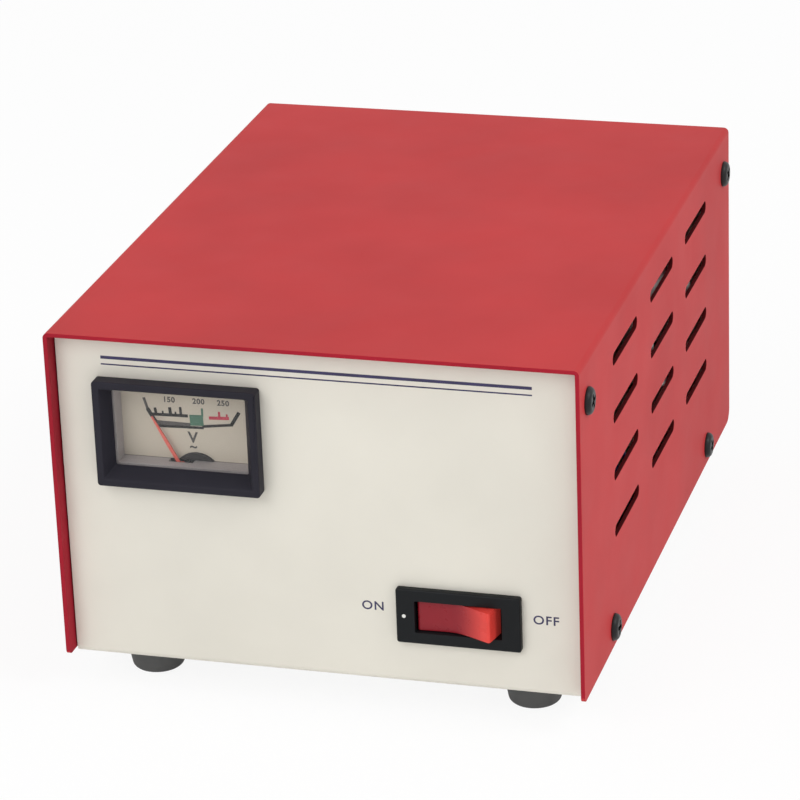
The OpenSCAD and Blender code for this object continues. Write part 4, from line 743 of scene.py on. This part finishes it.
@dataclass
class Studio:
    """The camera, the pale floor and the soft lights, with places in metres."""

    azimuth: float = 16.4733
    elevation: float = 22.5032
    roll: float = -2.19
    camera_place: Point = (0.2918, -1.0042, 0.4853)
    lens: float = 171.47
    sensor: float = 36.0
    near_clip: float = 0.02
    sky: float = 0.56
    aim: Point = (0.0, 0.0, 0.05)
    lamps: Table = (  # Name, place, size and power
        ("key_lamp", (-0.7, -1.6, 1.4), 1.4, 15.0),
        ("side_lamp", (1.5, -0.3, 1.7), 1.0, 16.2),
    )
    floor_half: float = 6.0
    floor_colour: Point = (0.97, 0.97, 0.97, 1.0)
    floor_roughness: float = 0.9
    floor_white: float = 0.9

    def camera(self) -> None:
        """Sets the camera as the photograph's was."""
        az, el, roll = (math.radians(a) for a in (self.azimuth, self.elevation, self.roll))
        turn = Matrix.Rotation(az, 4, "Z") @ Matrix.Rotation(math.pi / 2 - el, 4, "X")
        data = bpy.data.cameras.new("studio_camera")
        data.lens, data.sensor_width, data.clip_start = self.lens, self.sensor, self.near_clip
        camera = bpy.data.objects.new("studio_camera", data)
        bpy.context.scene.collection.objects.link(camera)
        camera.matrix_world = Matrix.Translation(self.camera_place) @ turn @ Matrix.Rotation(roll, 4, "Z")
        bpy.context.scene.camera = camera

    def world(self) -> None:
        """Lights everything evenly, with a white background."""
        world = bpy.data.worlds.new("studio_sky")
        world.use_nodes = True
        bpy.context.scene.world = world
        wiring = Wiring(world.node_tree)
        light = world.node_tree.nodes["Background"]
        wiring.feed(light, {"Color": WHITE, "Strength": self.sky})
        white = wiring.add("Background", {"Color": WHITE, "Strength": 1.0})
        wiring.blend(wiring.seen(), light, white, "World Output")

    def floor(self) -> None:
        """Lays the white floor, which keeps the object's shadow."""
        clear_selection()
        bpy.ops.mesh.primitive_plane_add(size=2 * self.floor_half)
        plane = bpy.context.object
        plane.name = "studio_floor"
        paint = bpy.data.materials.new("studio_floor_white")
        paint.use_nodes = True
        wiring = Wiring(paint.node_tree)
        shader = paint.node_tree.nodes["Principled BSDF"]
        wiring.feed(shader, {"Base Color": self.floor_colour, "Roughness": self.floor_roughness,
                             "Specular IOR Level": 0.0})
        white = wiring.add("Emission", {"Strength": 1.0})
        shown = {"Value": wiring.seen(), "Value_001": self.floor_white}
        share = wiring.add("Math", shown, operation="MULTIPLY")
        wiring.blend(share.outputs[0], shader, white, "Material Output")
        plane.data.materials.append(paint)

    def light(self) -> None:
        """Hangs the square lamps, which look at the object."""
        for name, place, size, power in self.lamps:
            data = bpy.data.lights.new(name, "AREA")
            data.size, data.energy = size, power
            lamp = bpy.data.objects.new(name, data)
            bpy.context.scene.collection.objects.link(lamp)
            lamp.location = place
            lamp.rotation_euler = (Vector(self.aim) - Vector(place)).to_track_quat("-Z", "Y").to_euler()

    def build(self) -> None:
        """Sets up the whole studio."""
        bpy.context.scene.view_settings.view_transform = "Standard"
        self.camera()
        self.world()
        self.floor()
        self.light()
        LOG.info("studio ready")


@dataclass
class CoverShell:
    """The folded sheet cover with its slots, and its screws."""

    at: Layout
    sheet: float = 1.2
    fold: float = 1.6
    front_corner: float = 1.5
    rear_corner: float = 4.0
    edge: float = 0.28
    overrun: float = 3.0
    slot_length: float = 31.0
    slot_height: float = 3.7
    slot_columns: tuple[float, ...] = (54.8, 103.2, 151.6)
    slot_drops: tuple[float, ...] = (12.8, 29.9, 47.0, 64.1)
    slot_margin: float = 0.3
    hole_radius: float = 1.9
    upper_screw: tuple[float, float] = (9.0, 12.0)
    lower_screw: tuple[float, float] = (36.0, 6.0)
    head_radius: float = 3.9
    head_height: float = 1.7
    head_dome: float = 0.86
    head_edge: float = 0.07
    recess_reach: float = 2.1
    recess_half: float = 0.55
    recess_depth: float = 1.1
    shank_radius: float = 1.75
    shank_length: float = 7.0
    shank_overlap: float = 0.2
    first_turn: float = 17.0
    turn_step: float = 31.0
    left_turn: float = 11 * math.pi

    def screw_places(self) -> list[tuple[float, float]]:
        """Returns the screws' places on one side as y and z."""
        at, (inset, drop), (low_inset, rise) = self.at, self.upper_screw, self.lower_screw
        return [(at.front + inset, at.top - drop), (at.rear - inset, at.top - drop),
                (at.front + low_inset, at.bottom + rise), (at.rear - low_inset, at.bottom + rise)]

    def _slots(self) -> Form:
        """Makes the tool that cuts every slot and screw hole through both sides."""
        left, right = self.at.left - self.overrun, self.at.right
        length, height = self.slot_length / 2, self.slot_height / 2
        slot = Form.box((left, -length, -height), (right + self.overrun, length, height))
        slot.pick(Kind.EDGE, runs_along(0)).bevel(height - 0.01, segments=7)
        slots = slot.copies([Matrix.Translation((0, self.at.front + y, self.at.top - drop))
                             for y in self.slot_columns for drop in self.slot_drops])
        width = right - self.at.left + 2 * self.overrun
        return Form.joined([slots, *(Form.rod((left, y, z), self.hole_radius, width, Way.RIGHT, sides=24)
                                     for y, z in self.screw_places())])

    def shell(self) -> None:
        """Builds the folded sheet."""
        at, sheet, over = self.at, self.sheet, self.overrun
        outer = Form.box((at.left, at.front, at.bottom), (at.right, at.rear, at.top))
        outer.pick(Kind.EDGE, all_of(runs_along(1), lies_at(2, at.top))).bevel(self.fold, segments=9)
        for end, corner, segments in ((at.front, self.front_corner, 5), (at.rear, self.rear_corner, 7)):
            outer.pick(Kind.EDGE, all_of(runs_along(0), lies_at(2, at.bottom), lies_at(1, end)))
            outer.bevel(corner, segments)
        hollow = Form.box((at.left + sheet, at.front - over, at.bottom - over),
                          (at.right - sheet, at.rear + over, at.top - sheet))
        hollow.pick(Kind.EDGE, all_of(runs_along(1), lies_at(2, at.top - sheet)))
        hollow.bevel(self.fold - sheet, segments=9)
        outer.cut(hollow).cut(self._slots()).soften(self.edge, 3, angle=38)
        outer.finish("cover_sheet", RED_ENAMEL, "red_enamel", "cover")
        self._shade(outer.thing.data)

    def _shade(self, cover: bpy.types.Mesh) -> None:
        """Paints shade: a dark red on the slots' walls, and a deeper red on the inner walls, both rims and the
        left front edge.

        Args:
            cover: The cover's mesh.
        """
        cover.materials.append(SLOT_WALL_PAINTED_SHADE.material())
        cover.materials.append(ENAMEL_PAINTED_SHADE.material())
        at, deep = self.at, self.sheet - self.edge / 2
        half_row = self.slot_height / 2 + self.slot_margin
        half_column = self.slot_length / 2 + self.slot_margin
        for face in cover.polygons:
            middle = face.center / MM
            depth = min(middle.x - at.left, at.right - middle.x)
            level = any(abs(middle.z - (at.top - drop)) < half_row for drop in self.slot_drops)
            along = any(abs(middle.y - (at.front + y)) < half_column for y in self.slot_columns)
            rim = middle.y < at.front + self.edge / 2 and middle.x < at.left + self.sheet
            if level and along and self.edge < depth < deep:
                face.material_index = 1
            elif min(depth, at.top - middle.z) > deep or rim:
                face.material_index = 2

    def screws(self) -> None:
        """Builds the eight pan-head screws."""
        top = self.head_height
        screw = Form.rod((0, 0, 0), self.head_radius, top, Way.RIGHT, sides=40)
        screw.pick(Kind.EDGE, all_of(lies_at(0, top), lambda edge: not runs_along(0)(edge)))
        screw.bevel(top * self.head_dome, segments=6)
        arm = (self.recess_reach, self.recess_half)
        for y, z in (arm, arm[::-1]):
            screw.cut(Form.box((top - self.recess_depth, -y, -z), (top + OVER, y, z)))
        shank = self.shank_length + self.shank_overlap
        screw.fuse(Form.rod((-self.shank_length, 0, 0), self.shank_radius, shank, Way.RIGHT, sides=24))
        screw.soften(self.head_edge)
        spots = []
        for side, half_turn, extra in ((self.at.right, 0.0, 0.0), (self.at.left, math.pi, self.left_turn)):
            for number, (y, z) in enumerate(self.screw_places()):
                angle = math.radians(self.first_turn + self.turn_step * number + extra)
                spots.append(Matrix.Translation((side, y, z)) @ Matrix.Rotation(half_turn, 4, "Z")
                             @ Matrix.Rotation(angle, 4, "X"))
        screw.copies(spots).finish("cover_screw_set", BLACK_SCREW, "black_screw", "cover_screws")

    def build(self) -> None:
        """Builds the cover and its screws."""
        self.shell()
        self.screws()


@dataclass
class Base:
    """The chassis, its print, and the rubber feet."""

    at: Layout
    sheet_edge: float = 0.16
    print_rise: float = 21.6
    printed: Table = (("print_on", "ON", 89.4), ("print_off", "OFF", 138.4))
    letter_height: float = 2.7
    letters: tuple[float, float, float] = (1.12, 0.05, 1.06)  # Spread, weight and width, as in Form.words
    rule_start: float = 14.6
    rule_end: float = 135.9
    rules: Table = ((89.6, 0.9), (87.6, 0.4))
    foot_height: float = 10.0
    foot_top_radius: float = 9.0
    foot_tip_radius: float = 7.25
    foot_rim: float = 1.4
    foot_edge: float = 0.25
    foot_inset_x: float = 19.5
    foot_inset_y: float = 21.7
    seat_radius: float = 3.65
    seat_rise: float = 5.0
    hole_radius: float = 2.15

    def chassis(self) -> None:
        """Builds the folded chassis with softened sheet edges."""
        sheet = Form.like(CHASSIS[0])
        for node in CHASSIS[1:]:
            sheet.fuse(Form.like(node))
        sheet.flatten().soften(self.sheet_edge)
        sheet.finish("chassis_sheet", CREAM_ENAMEL, "cream_enamel", *CHASSIS)

    def panel_print(self) -> None:
        """Prints the switch's two words and the plain rules of the panel."""
        at = self.at
        for name, text, across in self.printed:
            middle = (at.left + across, at.panel - INK_RISE / 2, at.bottom + self.print_rise)
            letters = Form.words(text, middle, self.letter_height, *self.letters)
            letters.finish(name, NAVY_INK, "cream_enamel")
        start, end = at.left + self.rule_start, at.left + self.rule_end
        rules = [strip((start, at.bottom + rise), (end, at.bottom + rise), width, at.panel)
                 for rise, width in self.rules]
        Form.joined(rules).finish("panel_rules", NAVY_INK, "cream_enamel")

    def feet(self) -> None:
        """Builds the four round feet with their screw seats."""
        at, tall = self.at, self.foot_height
        foot = Form.rod((0, 0, 0), self.foot_tip_radius, tall, Way.UP, 56, self.foot_top_radius)
        foot.pick(Kind.EDGE, lies_at(2, 0)).bevel(self.foot_rim, segments=5)
        foot.cut(Form.rod((0, 0, -OVER), self.seat_radius, self.seat_rise + OVER, Way.UP, sides=40))
        foot.cut(Form.rod((0, 0, -OVER), self.hole_radius, tall + 2 * OVER, Way.UP, sides=32))
        foot.soften(self.foot_edge)
        spots = [Matrix.Translation((x, y, 0))
                 for x in (at.left + self.foot_inset_x, at.right - self.foot_inset_x)
                 for y in (at.front + self.foot_inset_y, at.rear - self.foot_inset_y)]
        foot.copies(spots).finish("rubber_feet", FOOT_RUBBER, "foot_rubber", "feet")

    def build(self) -> None:
        """Builds the chassis, its print and the feet."""
        self.chassis()
        self.panel_print()
        self.feet()


@dataclass
class Meter:
    """The panel meter with its dial and needle."""

    at: Layout
    rim: float = 2.0
    corner: float = 0.9
    frame_edge: float = 0.38
    window: tuple[float, float] = (38.0, 21.8)
    window_lift: float = 0.6
    needle_length: float = 16.5
    needle_rest: float = 28.5
    needle_width: float = 0.95
    needle_thick: float = 0.4
    needle_tip_share: float = 0.45
    taper_start: float = 0.5
    hub_radius: float = 1.3
    hub_hole: float = 0.65
    hub_tool: float = 4.0
    ink_step: float = 0.004
    strokes: Table = (  # Ink, first end, last end and width
        (GREY_INK, 24.0, 75.8, 25.0, 72.4, 0.8), (BLACK_INK, 24.9, 72.6, 27.9, 67.4, 1.15),
        (BLACK_INK, 25.6, 71.0, 36.6, 71.2, 0.9), (BLACK_INK, 27.4, 71.0, 27.1, 73.0, 0.8),
        (BLACK_INK, 29.4, 71.0, 29.3, 72.2, 0.5), (BLACK_INK, 31.6, 71.0, 31.4, 73.4, 0.9),
        (BLACK_INK, 33.1, 71.0, 33.0, 72.2, 0.5), (BLACK_INK, 34.6, 71.0, 34.5, 73.7, 0.75),
        (GREY_INK, 27.4, 68.4, 37.2, 68.3, 1.7), (BLACK_INK, 27.8, 67.6, 41.0, 68.0, 0.75),
        (BLACK_INK, 40.6, 68.4, 49.3, 69.5, 0.8), (BLACK_INK, 49.0, 69.3, 51.5, 73.4, 1.0),
        (GREEN_INK, 37.1, 70.0, 41.0, 70.2, 3.2), (GREEN_INK, 40.8, 71.4, 40.8, 73.8, 0.6),
        (RED_INK, 42.7, 71.1, 48.5, 71.4, 0.95), (RED_INK, 45.7, 71.2, 45.7, 73.2, 0.65),
        (RED_INK, 47.9, 71.3, 47.9, 72.6, 0.5),
    )
    captions: Table = (  # Text, place, height, spread and weight
        ("150", 31.5, 75.7, 1.6, 1.1, 0.07), ("200", 39.9, 75.8, 1.6, 1.1, 0.07),
        ("250", 47.0, 75.8, 1.6, 1.1, 0.07), ("V", 37.7, 64.9, 3.3, 1.0, 0.11),
        ("~", 37.7, 62.0, 2.6, 1.0, 0.11),
    )

    def bezel(self) -> None:
        """Builds the black bezel with its sloped inner walls."""
        low, high = span("meter_bezel")
        middle, rim = (low + high) / 2, self.rim
        form = Form.box(low, high)
        form.pick(Kind.EDGE, runs_along(1)).bevel(self.corner, segments=5)
        tool = Form.box((low.x + rim, low.y, low.z + rim), (high.x - rim, high.y, high.z - rim))
        size = (high.x - low.x - 2 * rim, high.z - low.z - 2 * rim)
        tool.pick(Kind.FACE, faces_to(Way.BACK))
        tool.stretch((self.window[0] / size[0], 1, self.window[1] / size[1]), (middle.x, high.y, middle.z))
        tool.shift((0, 0, self.window_lift)).push((0, OVER, 0))
        tool.pick(Kind.FACE, faces_to(Way.FRONT)).push((0, -OVER, 0))
        form.cut(tool).soften(self.frame_edge, 3, angle=20)
        form.finish("meter_frame", BEZEL_PLASTIC, "bezel_plastic", "meter_bezel")

    def pane(self) -> None:
        """Builds the clear pane with softened edges, which lets all light in to the dial."""
        softened("meter_pane", "meter_window", CLEAR_PANE, "clear_pane", 0.12).visible_shadow = False

    def dial(self) -> None:
        """Builds the dial plate, its scale, its numbers and the hub cover."""
        left, bottom, face = self.at.left, self.at.bottom, span("meter_dial")[0].y
        softened("dial_plate", "meter_dial", DIAL_PAINT, "dial_paint", 0.08)
        softened("dial_surround", "meter_surround", GREY_PLASTIC, "grey_plastic", 0.15)
        softened("hub_cover", "meter_hub_cover", HUB_PAINT, "hub_paint", 0.12)
        inks: dict[Finish, list[Form]] = {}
        for number, (look, x, z, end_x, end_z, width) in enumerate(self.strokes):
            ends = (left + x, bottom + z), (left + end_x, bottom + end_z)
            inks.setdefault(look, []).append(strip(*ends, width, face - self.ink_step * number))
        for look, forms in inks.items():
            Form.joined(forms).finish(f"dial_marks_{look.name.rsplit('_', 1)[1]}", look, "dial_paint")
        words = [Form.words(text, (left + x, face - INK_RISE / 2, bottom + z), *letters)
                 for text, x, z, *letters in self.captions]
        Form.joined(words).finish("dial_numbers", GREY_INK, "dial_paint")

    def needle(self) -> None:
        """Builds the tapered needle on its hub, and dresses what turns with it."""
        low, high = span("meter_needle")
        pivot = next(joint["pos_m"] for joint in frame["joints"] if joint["child"] == "movement")
        half = self.needle_width / 2
        blade = Form.box((-half, 0, 0), (half, self.needle_thick, self.needle_length))
        blade.slice(2, self.needle_length * self.taper_start)
        blade.pick(Kind.FACE, faces_to(Way.UP))
        blade.stretch((self.needle_tip_share, 1, 1), (0, 0, self.needle_length))
        blade.fuse(Form.rod((0, 0, 0), self.hub_radius, high.y - low.y, Way.BACK, sides=32))
        blade.cut(Form.rod((0, -OVER, 0), self.hub_hole, self.hub_tool, Way.BACK, sides=24))
        blade.turn(-self.needle_rest, Way.BACK).move((pivot[0] / MM, low.y, pivot[2] / MM))
        blade.finish("needle_blade", NEEDLE_RED, "needle_red", "meter_needle", body="movement")
        dress(ZINC, "meter_spindle")

    def build(self) -> None:
        """Builds the whole meter."""
        self.bezel()
        self.pane()
        self.dial()
        self.needle()
        softened("meter_housing", "meter_case", CASE_PLASTIC, "case_plastic", 0.2)
        dress(BRASS, "meter_bearings", "meter_terminals")
        dress(COPPER_WIRE, "meter_coil")


@dataclass
class PowerSwitch:
    """The rocker switch of the front panel."""

    at: Layout
    across: float = 114.1
    rise: float = 20.2
    pivot_depth: float = 2.4
    half: float = 11.0
    height: float = 8.8
    tilt: float = 12.0
    middle_face: float = 3.4
    end_face: float = 5.687
    end_round: float = 0.9
    cap_edge: float = 0.42
    dip: float = 3.0
    ribs: tuple[float, ...] = (1.2, 4.0, 6.5, 8.0, 9.5)
    side_back: float = 1.6
    belly: float = 4.0
    belly_half: float = 5.4
    stem: float = 7.5
    stem_half: float = 2.6
    bore_start: float = 2.45
    bore_radius: float = 1.55
    bore_length: float = 7.0
    pin_radius: float = 1.2
    pin_half: float = 6.35
    frame_corner: float = 0.7
    frame_round: float = 0.55
    frame_edge: float = 0.22
    body_half: tuple[float, float] = (15.1, 6.5)
    body_overlap: float = 0.5
    clip_reach: tuple[float, float] = (15.0, 16.1)
    clip_depth: tuple[float, float] = (1.15, 8.15)
    clip_half: float = 4.0
    well_gap: float = 0.3
    well_half: float = 4.7
    well_floor: float = 2.0
    tab_places: tuple[float, ...] = (-7.4, 0.0, 7.4)
    tab_half: tuple[float, float] = (0.55, 2.55)
    dot_across: float = 98.8
    dot_rise: float = 20.25
    dot_radius: float = 0.55
    dot_overlap: float = 0.02

    def face_at(self, x: float) -> float:
        """Returns how far the rocker's face stands before its pivot at x."""
        grow = math.hypot(x, self.dip) - self.dip
        whole = math.hypot(self.half, self.dip) - self.dip
        return self.middle_face + (self.end_face - self.middle_face) * grow / whole

    def housing(self) -> None:
        """Builds the bezel and the body behind the panel, with the rocker's well."""
        at, (low, high) = self.at, span("switch_housing")
        x, z = at.left + self.across, at.bottom + self.rise
        rim = Form.box(low, (high.x, at.panel, high.z))
        rim.pick(Kind.EDGE, runs_along(1)).bevel(self.frame_corner, segments=5)
        rim.pick(Kind.EDGE, lies_at(1, low.y)).bevel(self.frame_round, segments=4)
        wide, tall = self.body_half
        rim.fuse(Form.box((x - wide, at.panel - self.body_overlap, z - tall), (x + wide, high.y, z + tall)))
        near, far = (at.panel + reach for reach in self.clip_depth)
        for side in (-1, 1):
            inner, outer = sorted(x + side * reach for reach in self.clip_reach)
            rim.fuse(Form.box((inner, near, z - self.clip_half), (outer, far, z + self.clip_half)))
        lean, end = math.radians(self.tilt), high.y - self.well_floor
        well = self.half * math.cos(lean) + self.end_face * math.sin(lean) + self.well_gap
        tall = self.well_half
        rim.cut(Form.box((x - well, low.y - OVER, z - tall), (x + well, end, z + tall)))
        wide, tall = self.tab_half
        for offset in self.tab_places:
            place = x + offset
            rim.cut(Form.box((place - wide, end - OVER, z - tall), (place + wide, high.y + OVER, z + tall)))
        rim.soften(self.frame_edge, 2, angle=60)
        rim.finish("switch_frame", CASE_PLASTIC, "case_plastic", "switch_housing")
        spot = (at.left + self.dot_across, low.y - INK_RISE, at.bottom + self.dot_rise)
        dot = Form.rod(spot, self.dot_radius, INK_RISE + self.dot_overlap, Way.BACK, sides=24)
        dot.finish("switch_dot", WHITE_INK, "case_plastic")

    def rocker(self) -> None:
        """Builds the rocker with its dished face, belly, stem and pins."""
        tall, half, face = self.height / 2, self.half, self.end_face
        form = Form.box((-half, -face, -tall), (half, self.side_back, tall))
        steps = (*self.ribs, self.belly_half, self.stem_half)
        cuts = sorted([0, *steps, *(-step for step in steps)])
        for x in cuts:
            form.slice(0, x)
        for x in cuts:
            form.pick(Kind.CORNER, all_of(lies_at(0, x), lies_at(1, -face)))
            form.shift((0, face - self.face_at(x), 0))
        for start, end, width in ((self.side_back, self.belly, self.belly_half),
                                  (self.belly, self.stem, self.stem_half)):
            form.pick(Kind.FACE, all_of(faces_to(Way.BACK), lies_at(1, start), centred(width)))
            form.push((0, end - start, 0))
        crest = all_of(runs_along(2), lies_at(1, -face))
        form.pick(Kind.EDGE, lambda edge: crest(edge) and any(lies_at(0, x)(edge) for x in (-half, half)))
        form.bevel(self.end_round, segments=4)
        form.fuse(Form.rod((0, 0, -self.pin_half), self.pin_radius, 2 * self.pin_half, Way.UP, sides=28))
        form.cut(Form.rod((0, self.bore_start, 0), self.bore_radius, self.bore_length, Way.BACK, sides=28))
        form.soften(self.cap_edge, 3, angle=40).turn(-self.tilt, Way.UP)
        at = self.at
        form.move((at.left + self.across, at.panel + self.pivot_depth, at.bottom + self.rise))
        form.finish("rocker_cap", ROCKER_RED, "rocker_red", "switch_rocker", body="rocker")
        dress(NYLON, "switch_plunger")
        dress(LAMP_GLASS, "switch_lamp")
        dress(BRASS, "switch_contact", "switch_terminals")

    def build(self) -> None:
        """Builds the whole switch."""
        self.housing()
        self.rocker()


@dataclass
class Insides:
    """Everything that the case holds, and the fittings of the rear panel."""

    rounded: Table = (  # What softened takes
        ("core_stack", "transformer_core", CORE_STEEL, "core_steel", 0.3),
        ("winding_block", "transformer_windings", WINDING_TAPE, "coil_copper", 0.5),
        ("coil_bobbin", "coil_former", FORMER_PLASTIC, "former_plastic", 0.2),
        ("foot_brackets", "transformer_brackets", ZINC, "zinc_steel", 0.25),
        ("board_sheet", "control_board", BOARD_GREEN, "board_green", 0.15),
        ("relay_shells", "relay_covers", RELAY_BLUE, "relay_blue", 0.35),
        ("relay_plates", "relay_bases", RELAY_BASE, "relay_base_plastic", 0.2),
        ("chip_package", "control_chip", CHIP_BLACK, "chip_black", 0.08),
        ("trimmer_block", "trimmer_body", TRIMMER_BLUE, "trimmer_blue", 0.2),
        ("socket_faces", "socket_shells", SOCKET_WHITE, "socket_plastic", 0.45),
        ("fuse_body", "fuse_holder", CASE_PLASTIC, "case_plastic", 0.3),
        ("fuse_ring_nut", "fuse_nut", CASE_PLASTIC, "case_plastic", 0.3),
        ("gland_body", "cable_gland", CASE_PLASTIC, "case_plastic", 0.3),
        ("gland_ring_nut", "gland_nut", CASE_PLASTIC, "case_plastic", 0.3),
    )
    kept: Table = (  # Finish, and the CAD nodes that take it
        (ZINC, ("core_bolts", "core_nuts", "bracket_screws", "foot_screws", "foot_nuts", "board_standoffs",
                "board_screws", "socket_fasteners")),
        (BRASS, ("board_tabs", "socket_contacts", "fuse_carrier")),
        (SLEEVE_BLUE, ("capacitors",)),
        (RESISTOR_TAN, ("resistors",)),
        (TRIMMER_WHITE, ("trimmer_rotor",)),
        (COPPER_WIRE, ("relay_coils",)),
        (NICKEL, ("relay_armature_1", "relay_armature_2", "relay_armature_3")),
        (FUSE_GLASS, ("fuse_cartridge",)),
    )
    leads: Table = (
        ("output_leads", LEAD_WHITE, "lead_white"), ("supply_leads", LEAD_BROWN, "lead_brown"),
        ("meter_leads", LEAD_BLUE, "lead_blue"),
    )
    lead_swell: float = 0.1

    def build(self) -> None:
        """Builds the softened copies and the leads, and dresses the rest."""
        for piece in self.rounded:
            softened(*piece)
        softened("fuse_knob", "fuse_cap", CAP_PLASTIC, "cap_plastic", 0.2, body="cap")
        for look, nodes in self.kept:
            dress(look, *nodes)
        for node, look, slot in self.leads:
            Form.like(node).round_off(self.lead_swell).finish(f"{node}_sleeve", look, slot, node, smooth=60)


def main() -> None:
    """Builds every sub-assembly in order."""
    logging.basicConfig(level=logging.INFO, format="%(name)s: %(message)s")
    at = Layout.of_model()
    for part in (Studio(), CoverShell(at), Base(at), Meter(at), PowerSwitch(at), Insides()):
        part.build()


if __name__ == "__main__":
    main()
